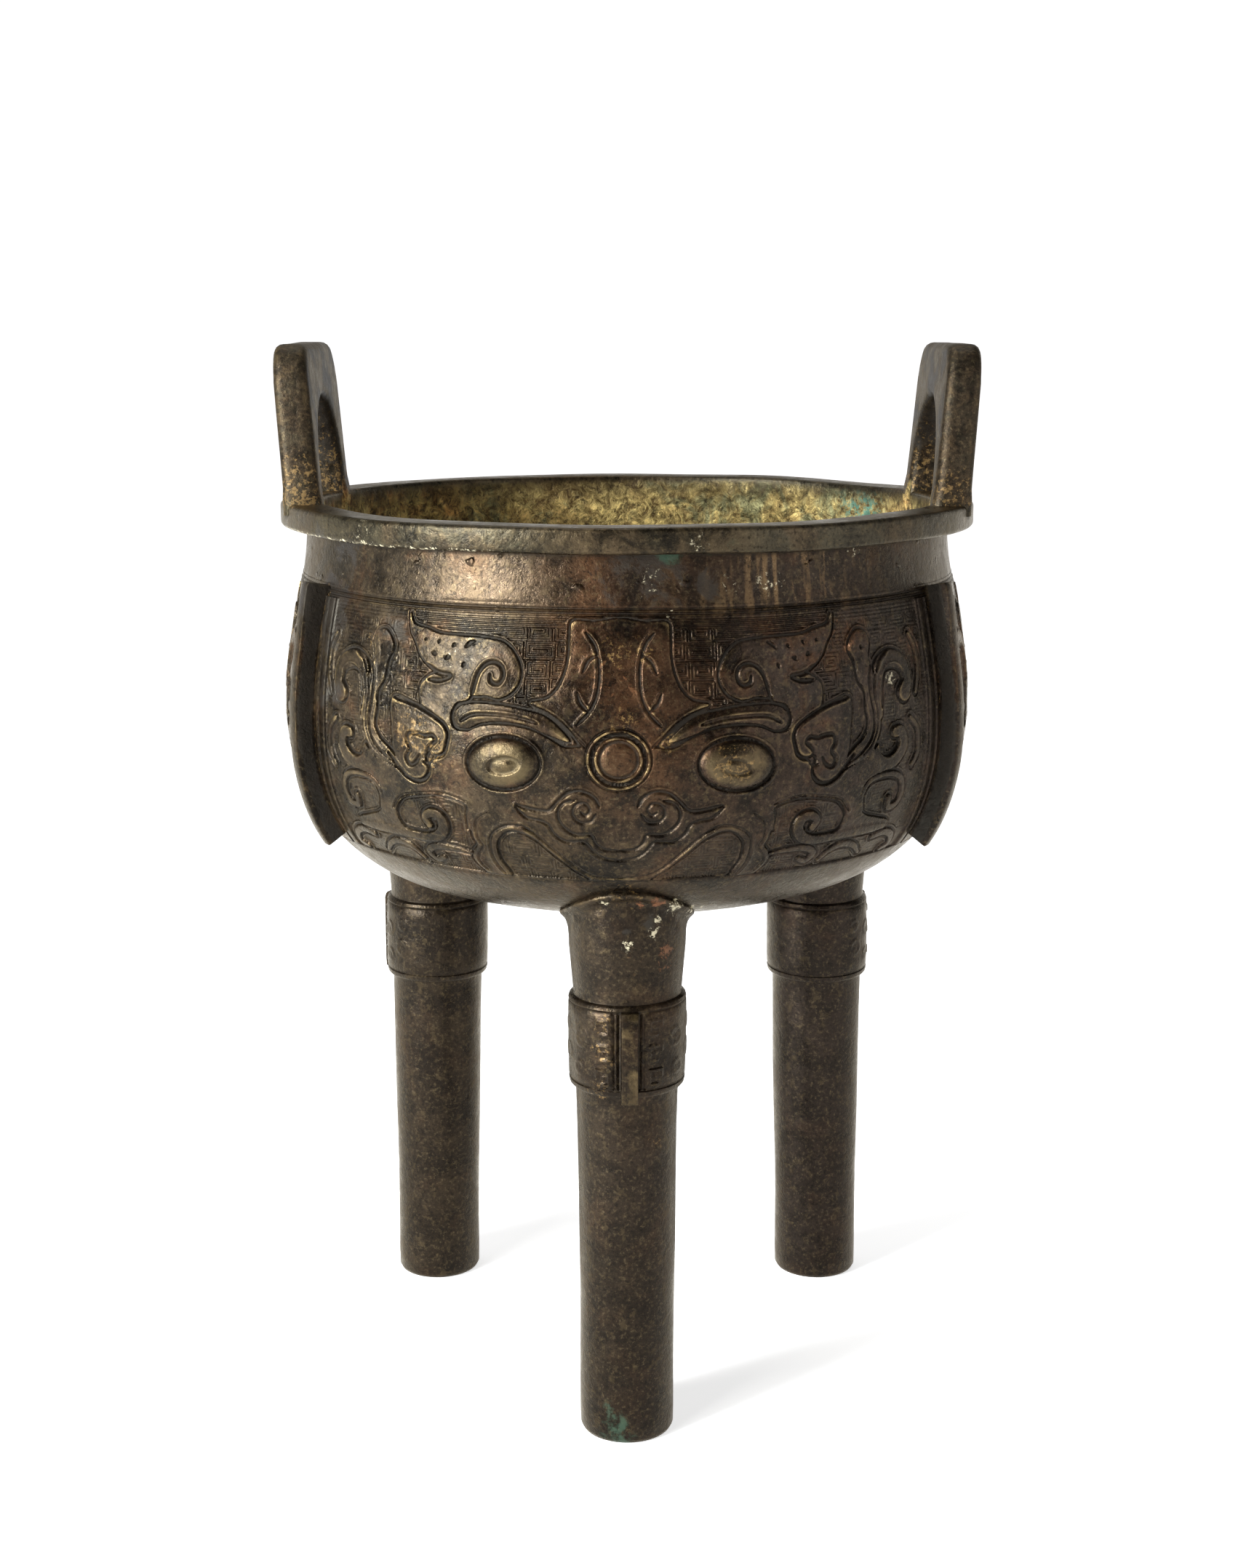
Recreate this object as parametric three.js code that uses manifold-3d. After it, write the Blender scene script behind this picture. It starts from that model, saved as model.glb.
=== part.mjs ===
// A cast bronze ding: a round bowl on three column legs, with a flat rim, two upright loop handles,
// three flanges and three animal masks in low relief. One casting, so one solid. Millimetres, +Z up.
// The bowl's axis stands at (0, AXIS_Y); azimuth 0 is the front, -Y, and grows towards +X.
import * as THREE from "three";
import { mergeVertices } from "three/addons/utils/BufferGeometryUtils.js";
import Module from "manifold-3d";

const wasm = await Module();
wasm.setup();

// Driving dimensions.
const AXIS_Y = -2.6;
const RIM_R = 115;
const RIM_TOP = 294.4;
const RIM_HEIGHT = 7.9;
const RIM_EDGE = 1.4;
const MOUTH_R = 102.4;
const WALL = 4.2;
const BOWL_DEPTH = 126.9;
const BOWL_SIDES = 48;
const CAVITY_SIDES = 32;
const LEG_FOOT_AT = 82.6;
const LEG_TOP_AT = 80.0;
const LEG_TOP_Z = 186;
const LEG_SIDES = 12;
const COLLAR_LOW = 117;
const COLLAR_HIGH = 147;
const LEG_FLANGE_LOW = 111.5;
const LEG_FLANGE_HIGH = 141.5;
const LEG_FLANGE_WIDTH = 5;
const LEG_FLANGE_REACH = 21.2;
const HANDLE_HEIGHT = 345;
const HANDLE_BASE_Z = 291;
const HANDLE_THICK = 11.9;
const HANDLE_MID_X = 103.5;
const HANDLE_LEAN = 0.075;
const HANDLE_HALF_BASE = 39.6;
const HANDLE_HALF_TOP = 35.4;
const HANDLE_CORNER = 9.5;
const HANDLE_GAP_HALF = 26.6;
const HANDLE_GAP_SPRING = 300;
const HANDLE_GAP_CROWN = 327.6;
const FLANGE_THICK = 5;
const FLANGE_HEIGHT = 7;
const FLANGE_FROM = 15.8;
const FLANGE_TO = 97.8;
const STRIP_WIDTH = 7;
const STRIP_PROUD = 0.7;
const RELIEF = 1.3;
const EMBED = 1.4;
const U_RADIUS = 115;
const THIRD = (2 * Math.PI) / 3;

// The bowl's outer wall, from the underside of the rim to the middle of the bottom: radius and depth
// below the rim's top.
const WALL_KNOTS = [
  [106.5, 7.9],
  [107.6, 18.5],
  [111.6, 39.2],
  [114.3, 60.2],
  [113.4, 81.5],
  [106.4, 101.0],
  [92.2, 116.9],
  [73.4, 125.0],
  [45, BOWL_DEPTH - 0.2],
  [0, BOWL_DEPTH],
];
const WALL_CURVE = new THREE.CatmullRomCurve3(
  WALL_KNOTS.map(([r, d]) => new THREE.Vector3(r, 0, RIM_TOP - d)),
  false,
  "centripetal",
);
WALL_CURVE.arcLengthDivisions = 800;
const WALL_LENGTH = WALL_CURVE.getLength();

// Radius, height and outward normal of the wall at s millimetres down it from the rim's underside.
function wallAt(s) {
  const t = THREE.MathUtils.clamp(s / WALL_LENGTH, 0, 1);
  const p = WALL_CURVE.getPointAt(t);
  const d = WALL_CURVE.getTangentAt(t);
  return { r: p.x, z: p.z, nr: -d.z, nz: d.x };
}

// A point on the bowl: u millimetres round it at U_RADIUS from the front, s down the wall, h proud.
function onWall(u, s, h) {
  const w = wallAt(s);
  const a = u / U_RADIUS;
  const r = w.r + h * w.nr;
  return new THREE.Vector3(r * Math.sin(a), -r * Math.cos(a), w.z + h * w.nz);
}

// The manifold solid of a three.js geometry.
function solid(geometry) {
  const g = geometry.clone();
  g.deleteAttribute("normal");
  g.deleteAttribute("uv");
  const m = mergeVertices(g, 1e-4);
  const vertProperties = new Float32Array(m.attributes.position.array);
  const triVerts = new Uint32Array(m.index.array);
  const made = new wasm.Manifold(new wasm.Mesh({ numProp: 3, vertProperties, triVerts }));
  if (made.volume() >= 0) return made;
  for (let i = 0; i < triVerts.length; i += 3) {
    const keep = triVerts[i + 1];
    triVerts[i + 1] = triVerts[i + 2];
    triVerts[i + 2] = keep;
  }
  return new wasm.Manifold(new wasm.Mesh({ numProp: 3, vertProperties, triVerts }));
}

// A closed skin over a row of rings with the same number of points, with a fan on each end, or with
// the last ring joined to the first.
function loft(rings, joined = false) {
  const n = rings[0].length;
  const points = rings.flat();
  const index = [];
  const last = joined ? rings.length : rings.length - 1;
  for (let i = 0; i < last; i++) {
    const a = i * n;
    const b = ((i + 1) % rings.length) * n;
    for (let k = 0; k < n; k++) {
      const k2 = (k + 1) % n;
      index.push(a + k, b + k, b + k2, a + k, b + k2, a + k2);
    }
  }
  if (!joined) {
    const far = (rings.length - 1) * n;
    for (let k = 1; k < n - 1; k++) {
      index.push(0, k, k + 1);
      index.push(far, far + k + 1, far + k);
    }
  }
  const g = new THREE.BufferGeometry().setFromPoints(points);
  g.setIndex(index);
  return g;
}

function lathe(profile, sides) {
  const g = new THREE.LatheGeometry(profile.map(([r, z]) => new THREE.Vector2(r, z)), sides);
  g.rotateX(Math.PI / 2);
  return solid(g);
}

function joinAll(solids) {
  return solids.reduce((all, one) => all.add(one));
}

function turned(geometry, angle) {
  return geometry.clone().rotateZ(angle);
}

// A piece and its mirror image across the mask's middle.
function bothSides(make) {
  return [make(1), make(-1)];
}

// Knots that end on the mask's middle, carried on to their mirror image.
function acrossMiddle(knots) {
  const back = knots.slice(0, -1).map(([u, s, w]) => [-u, s, w]);
  return knots.concat(back.reverse());
}

// The bowl, solid inside: the rim with rounded edges, and the wall below it.
function bowlBody() {
  const e = RIM_EDGE;
  const low = RIM_TOP - RIM_HEIGHT;
  const profile = [
    [0, RIM_TOP],
    [RIM_R - e, RIM_TOP],
    [RIM_R, RIM_TOP - e],
    [RIM_R, low + e],
    [RIM_R - e, low],
  ];
  const steps = [0, 16, 34, 52, 70, 86, 99, 111, 124, 140];
  for (const s of steps) {
    const w = wallAt(s);
    profile.push([w.r, w.z]);
  }
  profile.push([0, RIM_TOP - BOWL_DEPTH]);
  return lathe(profile, BOWL_SIDES);
}

// The hollow, from above the rim down to a wall's thickness over the bottom.
function cavity() {
  const e = 1.3;
  const profile = [
    [0, RIM_TOP + 6],
    [MOUTH_R + e, RIM_TOP + 6],
    [MOUTH_R + e, RIM_TOP],
    [MOUTH_R, RIM_TOP - e],
  ];
  for (const s of [6, 34, 58, 79, 97, 113, 132]) {
    const w = wallAt(s);
    profile.push([w.r - WALL * w.nr, w.z - WALL * w.nz]);
  }
  profile.push([0, RIM_TOP - BOWL_DEPTH + WALL]);
  return lathe(profile, CAVITY_SIDES);
}

// One column leg at the front, with its collar, and a foot cut flat on the floor.
function legGeometry() {
  const rings = [
    [0, 14.3],
    [1, 15],
    [60, 15.4],
    [COLLAR_LOW - 0.5, 16.4],
    [COLLAR_LOW, 18.7],
    [COLLAR_LOW + 3, 18.4],
    [COLLAR_HIGH, 18.6],
    [COLLAR_HIGH + 0.5, 17.3],
    [160, 17.8],
    [172, 18.9],
    [LEG_TOP_Z, 22],
  ];
  return loft(
    rings.map(([z, r]) => {
      const at = THREE.MathUtils.lerp(LEG_FOOT_AT, LEG_TOP_AT, z / LEG_TOP_Z);
      const ring = [];
      for (let k = 0; k < LEG_SIDES; k++) {
        const a = (2 * Math.PI * k) / LEG_SIDES;
        ring.push(new THREE.Vector3(r * Math.cos(a), -at + r * Math.sin(a), z));
      }
      return ring;
    }),
  );
}

// The small upright flange on a collar's outward side.
function legFlangeGeometry() {
  const half = LEG_FLANGE_WIDTH / 2;
  const plan = [
    [-half, 12],
    [half, 12],
    [half, LEG_FLANGE_REACH - 0.6],
    [half - 0.6, LEG_FLANGE_REACH],
    [-half + 0.6, LEG_FLANGE_REACH],
    [-half, LEG_FLANGE_REACH - 0.6],
  ];
  const levels = [
    [LEG_FLANGE_LOW, 1],
    [LEG_FLANGE_HIGH - 1.2, 1],
    [LEG_FLANGE_HIGH, 0.93],
  ];
  return loft(
    levels.map(([z, k]) => plan.map(([x, y]) => new THREE.Vector3(x, -81 - y * k, z))),
  );
}

// A loop handle standing on the rim at +X: an inverted U with softened edges, leaning outwards.
function handleGeometry() {
  const rise = HANDLE_HEIGHT - HANDLE_BASE_Z;
  const gapRise = HANDLE_GAP_CROWN - HANDLE_GAP_SPRING;
  // The half-width of the outline at a height above the base.
  const outerAt = (z) => THREE.MathUtils.lerp(HANDLE_HALF_BASE, HANDLE_HALF_TOP, z / rise);
  const outer = [];
  const inner = [];
  const corner = HANDLE_CORNER;
  for (const z of [0, rise * 0.3, rise * 0.6, rise - corner]) {
    outer.push([outerAt(z), z]);
  }
  for (const t of [0.3, 0.6, 0.85]) {
    const a = (t * Math.PI) / 2;
    outer.push([outerAt(rise) - corner + corner * Math.cos(a), rise - corner + corner * Math.sin(a)]);
  }
  outer.push([outerAt(rise) - corner - 2, rise]);
  outer.push([0, rise]);
  const right = outer.slice(0, -1).map(([y, z]) => [-y, z]);
  const outline = outer.concat(right.reverse());
  for (let i = 0; i < outline.length; i++) {
    const t = i / (outline.length - 1);
    const a = Math.PI * (1.06 * (t - 0.5) + 0.5);
    const arch = HANDLE_GAP_SPRING - HANDLE_BASE_Z + gapRise * Math.sin(a);
    inner.push(
      i === 0 || i === outline.length - 1
        ? [HANDLE_GAP_HALF * Math.sign(0.5 - t), 0]
        : [HANDLE_GAP_HALF * Math.cos(a), Math.max(arch, 1)],
    );
  }
  // Rings run round the bar's section at each station of the U.
  const half = HANDLE_THICK / 2;
  const soft = 1.6;
  const rings = outline.map(([y, z], i) => {
    const [y2, z2] = inner[i];
    const length = Math.hypot(y2 - y, z2 - z);
    const k = soft / length;
    const section = [
      [0, -half + soft],
      [k, -half],
      [1 - k, -half],
      [1, -half + soft],
      [1, half - soft],
      [1 - k, half],
      [k, half],
      [0, half - soft],
    ];
    return section.map(([t, x]) => {
      const height = z + (z2 - z) * t;
      const thin = 1 - (0.08 * height) / rise;
      return new THREE.Vector3(
        HANDLE_MID_X + HANDLE_LEAN * height + x * thin,
        y + (y2 - y) * t,
        HANDLE_BASE_Z + height,
      );
    });
  });
  return loft(rings);
}

// A plate flange standing square to the wall and following it, with a low border strip on the wall
// each side of it, centred on the front.
function flangeGeometry() {
  const half = FLANGE_THICK / 2;
  const wide = half + STRIP_WIDTH;
  const stations = [0, 0.04, 0.2, 0.36, 0.52, 0.66, 0.78, 0.89, 1];
  return loft(
    stations.map((t) => {
      const s = THREE.MathUtils.lerp(FLANGE_FROM, FLANGE_TO, t);
      const h = t === 0 ? FLANGE_HEIGHT - 0.9 : FLANGE_HEIGHT;
      return [
        onWall(-wide, s, -EMBED),
        onWall(wide, s, -EMBED),
        onWall(wide, s, STRIP_PROUD),
        onWall(half, s, STRIP_PROUD),
        onWall(half, s, h),
        onWall(-half, s, h),
        onWall(-half, s, STRIP_PROUD),
        onWall(-wide, s, STRIP_PROUD),
      ];
    }),
  );
}

// A raised band on the wall along a curve through knots [u, s, half width], mirrored when side is -1:
// flat-topped, or with one ridge.
function band(knots, count, side = 1, flat = true) {
  const curve = new THREE.CatmullRomCurve3(
    knots.map(([u, s, w]) => new THREE.Vector3(u, s, w)),
    false,
    "centripetal",
  );
  const rings = [];
  for (let i = 0; i <= count; i++) {
    const p = curve.getPointAt(i / count);
    const d = curve.getTangentAt(i / count);
    const length = Math.hypot(d.x, d.y);
    const nu = -d.y / length;
    const ns = d.x / length;
    const w = Math.max(p.z, 0.35);
    const edge = Math.min(0.5, w * 0.5);
    const at = (k, h) => onWall(side * (p.x + k * nu), p.y + k * ns, h);
    const foot = [at(-w, -EMBED), at(w, -EMBED)];
    rings.push(foot.concat(flat ? [at(w - edge, RELIEF), at(edge - w, RELIEF)] : [at(0, RELIEF)]));
  }
  return loft(rings);
}

// A ring on the wall: an oval band round a centre.
function ringBand(u, s, wide, high, w, sides) {
  const rings = [];
  for (let i = 0; i < sides; i++) {
    const a = (2 * Math.PI * i) / sides;
    const at = (k, h) => onWall(u + (wide + k) * Math.cos(a), s + (high + k) * Math.sin(a), h);
    rings.push([at(-w, -EMBED), at(w, -EMBED), at(0, RELIEF)]);
  }
  return loft(rings, true);
}

// A dome on the wall, with an oval foot.
function dome(u, s, wide, high, proud, sides) {
  const rings = [];
  for (const [k, h] of [
    [1, -EMBED],
    [0.98, 0.3],
    [0.6, 0.94],
  ]) {
    const ring = [];
    for (let i = 0; i < sides; i++) {
      const a = (2 * Math.PI * i) / sides;
      const height = h < 0 ? h : h * proud;
      ring.push(onWall(u + k * wide * Math.cos(a), s + k * high * Math.sin(a), height));
    }
    rings.push(ring);
  }
  return loft(rings);
}

// The mask's raised bands, one side of its middle: knots [u, s, half width], and the number of steps.
const HORN = [
  [70, 20.8, 0.4],
  [64.5, 26.6, 2.8],
  [57, 30.3, 5],
  [50, 31.2, 5.6],
  [43.5, 30.4, 4.4],
  [37.4, 30, 3.2],
  [33.4, 34.2, 2.5],
  [34.3, 38.9, 2.2],
  [38.4, 40.7, 1.9],
  [41.6, 38.2, 1.6],
  [40.8, 35.4, 1.3],
];
const BROW = [
  [15.5, 55.6, 0.7],
  [20.5, 51.7, 1.7],
  [28, 48.7, 2.4],
  [37, 47.6, 2.6],
  [45.5, 48.3, 2.7],
  [50.2, 51.2, 1.7],
];
const EAR = [
  [72.4, 46.8, 0.8],
  [69, 52, 3.9],
  [68, 58.5, 4.4],
  [66.8, 64, 3.8],
  [62.6, 67.6, 2.3],
  [59.9, 65.6, 1.4],
];
const SIDE_BODY = [
  [82.5, 26.8, 1.2],
  [78.4, 30.6, 3],
  [79.8, 37, 2.6],
  [82, 44.5, 2.4],
  [83.6, 52, 2.4],
  [82.4, 58.4, 2.5],
  [78, 62.6, 2],
  [72.6, 65.4, 1],
];
const SIDE_CURL = [
  [84.6, 42, 1.5],
  [88, 36.4, 2],
  [94, 34.6, 2.3],
  [99.4, 38.2, 2.4],
  [100.6, 44.4, 2.4],
  [97, 48, 2.8],
];
const SCROLL = [
  [62.6, 83.6, 0.9],
  [62.4, 81, 1.3],
  [58.8, 80.6, 1.5],
  [57.6, 84.2, 1.8],
  [62, 88.6, 2],
  [71, 89.8, 2.1],
  [79, 86.4, 2.3],
  [79.4, 79, 2.5],
  [72, 73.2, 2.5],
  [60, 71.8, 2.3],
  [49, 73, 1.4],
];
const MUZZLE = [
  [11.6, 77, 0.8],
  [8.7, 74.6, 1],
  [11.4, 71.6, 1.1],
  [16, 73.3, 1.3],
  [18.2, 78.4, 1.4],
  [14.8, 84, 1.3],
  [9.4, 85.2, 1.3],
  [5.4, 89, 1.3],
  [0, 90.8, 1.3],
];
const JAW = [
  [29.4, 80.8, 1],
  [23.4, 85.6, 1.9],
  [17.8, 90.4, 2.6],
  [9, 95.4, 2.8],
  [0, 96.6, 2.8],
];
const FOREHEAD = [
  [13.2, 20.4, 1.9],
  [13.1, 31, 1.9],
  [15.4, 38.4, 2],
  [21.4, 43.8, 2.1],
  [28, 44.6, 0.6],
];
const EYE_U = 34.8;
const EYE_S = 62.3;
const NOSE_S = 60.4;

function maskGeometries() {
  const parts = [];
  for (const [knots, count, flat] of [
    [HORN, 9, true],
    [BROW, 4, true],
    [EAR, 4, true],
    [SIDE_BODY, 5, true],
    [SIDE_CURL, 4, false],
    [SCROLL, 8, false],
    [FOREHEAD, 4, false],
  ]) {
    parts.push(...bothSides((side) => band(knots, count, side, flat)));
  }
  parts.push(band(acrossMiddle(MUZZLE), 14, 1, false));
  parts.push(band(acrossMiddle(JAW), 6));
  parts.push(...bothSides((side) => dome(side * EYE_U, EYE_S, 12.2, 7.4, 3.2, 10)));
  parts.push(ringBand(0, NOSE_S, 8.1, 7.6, 1.2, 9));
  parts.push(dome(0, NOSE_S, 5.4, 5.1, 1.7, 7));
  return parts;
}

function buildVessel() {
  const turns = [0, THIRD, -THIRD];
  const outside = [bowlBody()];
  for (const turn of turns) {
    outside.push(solid(turned(legGeometry(), turn)));
    outside.push(solid(turned(legFlangeGeometry(), turn)));
    for (const part of maskGeometries()) {
      outside.push(solid(turned(part, turn)));
    }
    outside.push(solid(turned(flangeGeometry(), turn + Math.PI)));
  }
  const hollowed = joinAll(outside).subtract(cavity());
  const handle = handleGeometry();
  return joinAll([hollowed, solid(handle), solid(turned(handle, Math.PI))]);
}

function meshFrom(made, name, material) {
  const m = made.getMesh();
  const g = new THREE.BufferGeometry();
  g.setAttribute("position", new THREE.BufferAttribute(new Float32Array(m.vertProperties), 3));
  g.setIndex(new THREE.BufferAttribute(new Uint32Array(m.triVerts), 1));
  g.computeVertexNormals();
  const mesh = new THREE.Mesh(g, material);
  mesh.name = name;
  return mesh;
}

const bronze = new THREE.MeshStandardMaterial({
  name: "bronze",
  color: new THREE.Color(0.23, 0.2, 0.16),
  roughness: 0.48,
  metalness: 0.75,
});

const ding = new THREE.Group();
ding.name = "ding";
const vessel = meshFrom(buildVessel(), "vessel", bronze);
vessel.position.set(0, AXIS_Y, 0);
ding.add(vessel);

export default ding;
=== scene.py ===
"""A cast bronze ding vessel: its mesh, bronze, floor, light and camera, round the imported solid.

Shapes are worked out in millimetres about the bowl's axis, with z up from the floor and azimuth 0 at
the front (-Y), growing towards +X. row_frame() turns them into metres in the frame of the solid.
On the wall, x is the distance round from a mask's middle, measured at WALL_R, and s the distance down
from the underside of the rim.
"""

import math

import bmesh
import bpy
import numpy as np
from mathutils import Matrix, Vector


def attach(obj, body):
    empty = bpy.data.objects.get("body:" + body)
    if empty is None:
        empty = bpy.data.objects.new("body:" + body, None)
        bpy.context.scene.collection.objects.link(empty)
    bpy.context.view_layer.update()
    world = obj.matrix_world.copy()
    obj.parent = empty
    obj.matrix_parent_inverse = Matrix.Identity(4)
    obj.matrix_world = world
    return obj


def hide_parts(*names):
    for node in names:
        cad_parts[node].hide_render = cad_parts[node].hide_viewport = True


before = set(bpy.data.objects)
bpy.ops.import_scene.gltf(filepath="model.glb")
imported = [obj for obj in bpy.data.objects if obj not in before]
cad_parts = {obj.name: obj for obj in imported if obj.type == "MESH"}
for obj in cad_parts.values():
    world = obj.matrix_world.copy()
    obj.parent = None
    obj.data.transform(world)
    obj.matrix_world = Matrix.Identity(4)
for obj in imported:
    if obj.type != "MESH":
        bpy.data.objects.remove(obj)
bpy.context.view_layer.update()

# Driving sizes, in millimetres.
AXIS_Y = -2.6
RIM_R = 115.0
RIM_TOP = 294.4
RIM_HEIGHT = 7.9
RIM_EDGE = 1.5
MOUTH_R = 102.4
MOUTH_EDGE = 1.3
WALL = 4.2
BOWL_DEPTH = 126.9
WALL_R = 115.0
WALL_KNOTS = [
    (106.5, 7.9), (107.6, 18.5), (111.6, 39.2), (114.3, 60.2), (113.4, 81.5),
    (106.4, 101.0), (92.2, 116.9), (73.4, 125.0), (45.0, 126.7), (0.0, 126.9),
]
LEG_FOOT_AT = 82.6
LEG_TOP_AT = 80.0
LEG_TOP_Z = 186.0
LEG_END_Z = 190.0
COLLAR_R = 18.4
LEG_FLANGE_LOW = 116.2
LEG_FLANGE_HIGH = 145.1
LEG_FLANGE_HALF = 2.6
LEG_FLANGE_REACH = 21.2
LEG_FLANGE_TURN = 0.047
HANDLE_HEIGHT = 345.0
HANDLE_BASE_Z = 291.0
HANDLE_THICK = 11.9
HANDLE_MID_X = 103.5
HANDLE_LEAN = 0.075
HANDLE_HALF_BASE = 39.6
HANDLE_HALF_TOP = 35.4
HANDLE_CORNER = 9.5
HANDLE_GAP_HALF = 26.6
HANDLE_GAP_SPRING = 300.0
HANDLE_GAP_CROWN = 327.6
HANDLE_EDGE = 3.3
FLANGE_HALF = 2.35
FLANGE_HEIGHT = 7.2
FLANGE_FROM = 15.8
FLANGE_TO = 97.8
BAND_FROM = 15.25
BAND_TO = 102.15
BAND_SEAT = 0.9
THIRD = 2 * math.pi / 3
SEED = 11
BAND_TRIANGLES = 185000
CASTING_TRIANGLES = 190000

# Dirt: places about the axis, how far each reaches and how full its middle is.
DEPOSITS = {
    "soot_and_shade": [((-93, -62, 266), 26, 0.85), ((-92, -66, 240), 22, 0.65), ((-70, -89, 262), 16, 0.55),
             ((-88, -72, 215), 20, 0.45), ((3, -106, 279), 22, 0.8), ((20, -104, 277), 18, 0.7),
             ((0, -99, 171), 4, 0.9), ((-1, -99, 153), 7, 0.6), ((6, -98, 174), 9, 0.5),
             ((-88, -60, 282), 22, 0.8)],
    "rust": [((4, -99, 179.5), 4, 0.7), ((9, -98, 180), 5, 0.8), ((12, -95, 162), 8, 0.6),
             ((2, -99, 163), 6, 0.45), ((65, -90, 260), 14, 0.4), ((-3, -113, 250), 22, 0.4),
             ((6, -112, 236), 14, 0.4)],
    "green": [((13, -107, 288), 9, 0.85), ((23, -105, 287.5), 7, 0.7), ((-4, -97, 4), 14, 0.75),
              ((-60, -85, 285), 9, 0.4), ((30, -111, 289), 9, 0.35), ((-30, -110, 289), 14, 0.4)],
    "gold": [((-64, -95, 231), 16, 0.62), ((-57, -100, 226), 13, 0.6), ((-79, -83, 258), 13, 0.45),
             ((12, -115, 232), 7, 0.6), ((31, -114, 226), 17, 0.56), ((5, -112, 258), 12, 0.46),
             ((-1, -117, 238), 12, 0.5), ((-3, -112, 258), 12, 0.5), ((-9, -96, 119), 9, 0.55),
             ((-8, -98, 131), 10, 0.56), ((-8, -98, 141), 7, 0.55), ((9, -94, 105), 10, 0.5),
             ((-104, -39, 295), 9, 0.9), ((-104, -38, 306), 18, 0.55), ((104, -39, 295), 7, 0.8),
             ((-98, 0, 292), 30, 0.4), ((98, 0, 292), 30, 0.6), ((0, -101, 182), 14, 0.45)],
    "pale": [((-7, -99, 180), 3, 0.8), ((9, -96, 174), 2.5, 0.85), ((8, -97, 170), 4.5, 0.72),
             ((0, -99, 166), 5, 0.76), ((15, -94, 178), 8, 0.66), ((20, -86, 175), 8, 0.62),
             ((12, -108, 269), 3.5, 0.6), ((80, -80, 245), 4, 0.8), ((42, -99, 277), 11, 0.42),
             ((6, -106, 278), 12, 0.38), ((30, -103, 277), 9, 0.35), ((68, -82, 284), 6, 0.45),
             ((20, -113, 290), 9, 0.42), ((-79, -84, 290), 12, 0.4), ((-52, -100, 256), 12, 0.3)],
}


# ---------------------------------------------------------------- curves and grids

def smooth_curve(knots, closed=False, step=0.6):
    """Points along a centripetal Catmull-Rom curve through the knots, about a step apart."""
    k = np.asarray(knots, float)
    if closed:
        k = np.vstack([k[-1], k, k[0], k[1]])
    else:
        k = np.vstack([2 * k[0] - k[1], k, 2 * k[-1] - k[-2]])
    out = []
    for p0, p1, p2, p3 in zip(k[:-3], k[1:-2], k[2:-1], k[3:]):
        d01, d12, d23 = (max(np.hypot(*(b - a)[:2]), 1e-6) ** 0.5
                         for a, b in ((p0, p1), (p1, p2), (p2, p3)))
        n = max(2, int(math.ceil(d12 * d12 / step)))
        t = np.linspace(0, d12, n, endpoint=False)[:, None]
        m1 = (p1 - p0) / d01 - (p2 - p0) / (d01 + d12) + (p2 - p1) / d12
        m2 = (p2 - p1) / d12 - (p3 - p1) / (d12 + d23) + (p3 - p2) / d23
        v = t / d12
        out.append((2 * v**3 - 3 * v**2 + 1) * p1 + (v**3 - 2 * v**2 + v) * m1 * d12
                   + (-2 * v**3 + 3 * v**2) * p2 + (v**3 - v**2) * m2 * d12)
    if not closed:
        out.append(k[-2][None, :])
    return np.vstack(out)


wall_line = smooth_curve(WALL_KNOTS, step=0.1)
wall_line[:, 0] = np.maximum(wall_line[:, 0], 0)
wall_s = np.concatenate([[0], np.cumsum(np.hypot(*np.diff(wall_line, axis=0).T))])


def wall_at(s):
    """Radius, height and outward normal of the wall at s."""
    r = np.interp(s, wall_s, wall_line[:, 0])
    z = RIM_TOP - np.interp(s, wall_s, wall_line[:, 1])
    dr = np.interp(s + 0.5, wall_s, wall_line[:, 0]) - np.interp(s - 0.5, wall_s, wall_line[:, 0])
    dz = np.interp(s - 0.5, wall_s, wall_line[:, 1]) - np.interp(s + 0.5, wall_s, wall_line[:, 1])
    long = np.hypot(dr, dz) + 1e-9
    return r, z, -dz / long, dr / long


def smoothstep(a, b, x):
    t = np.clip((x - a) / (b - a), 0, 1)
    return t * t * (3 - 2 * t)


def waves(points, length, seed, count=14):
    """A smooth random field over points in space, about -1 to 1, with bumps about a length apart."""
    rng = np.random.default_rng(SEED + seed)
    k = rng.normal(size=(count, 3))
    k *= (2 * math.pi / length * rng.uniform(0.6, 1.5, count) / np.linalg.norm(k, axis=1))[:, None]
    return np.sin(points @ k.T + rng.uniform(0, 2 * math.pi, count)).sum(1) / math.sqrt(count)


# ---------------------------------------------------------------- mesh helpers

def row_frame(points):
    """Points about the bowl's axis in millimetres, as metres in the solid's frame."""
    p = np.array(points, float)
    p[:, 1] += AXIS_Y
    return p * 0.001


def add_object(name, data):
    ob = bpy.data.objects.new(name, data)
    bpy.context.scene.collection.objects.link(ob)
    return ob


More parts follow.
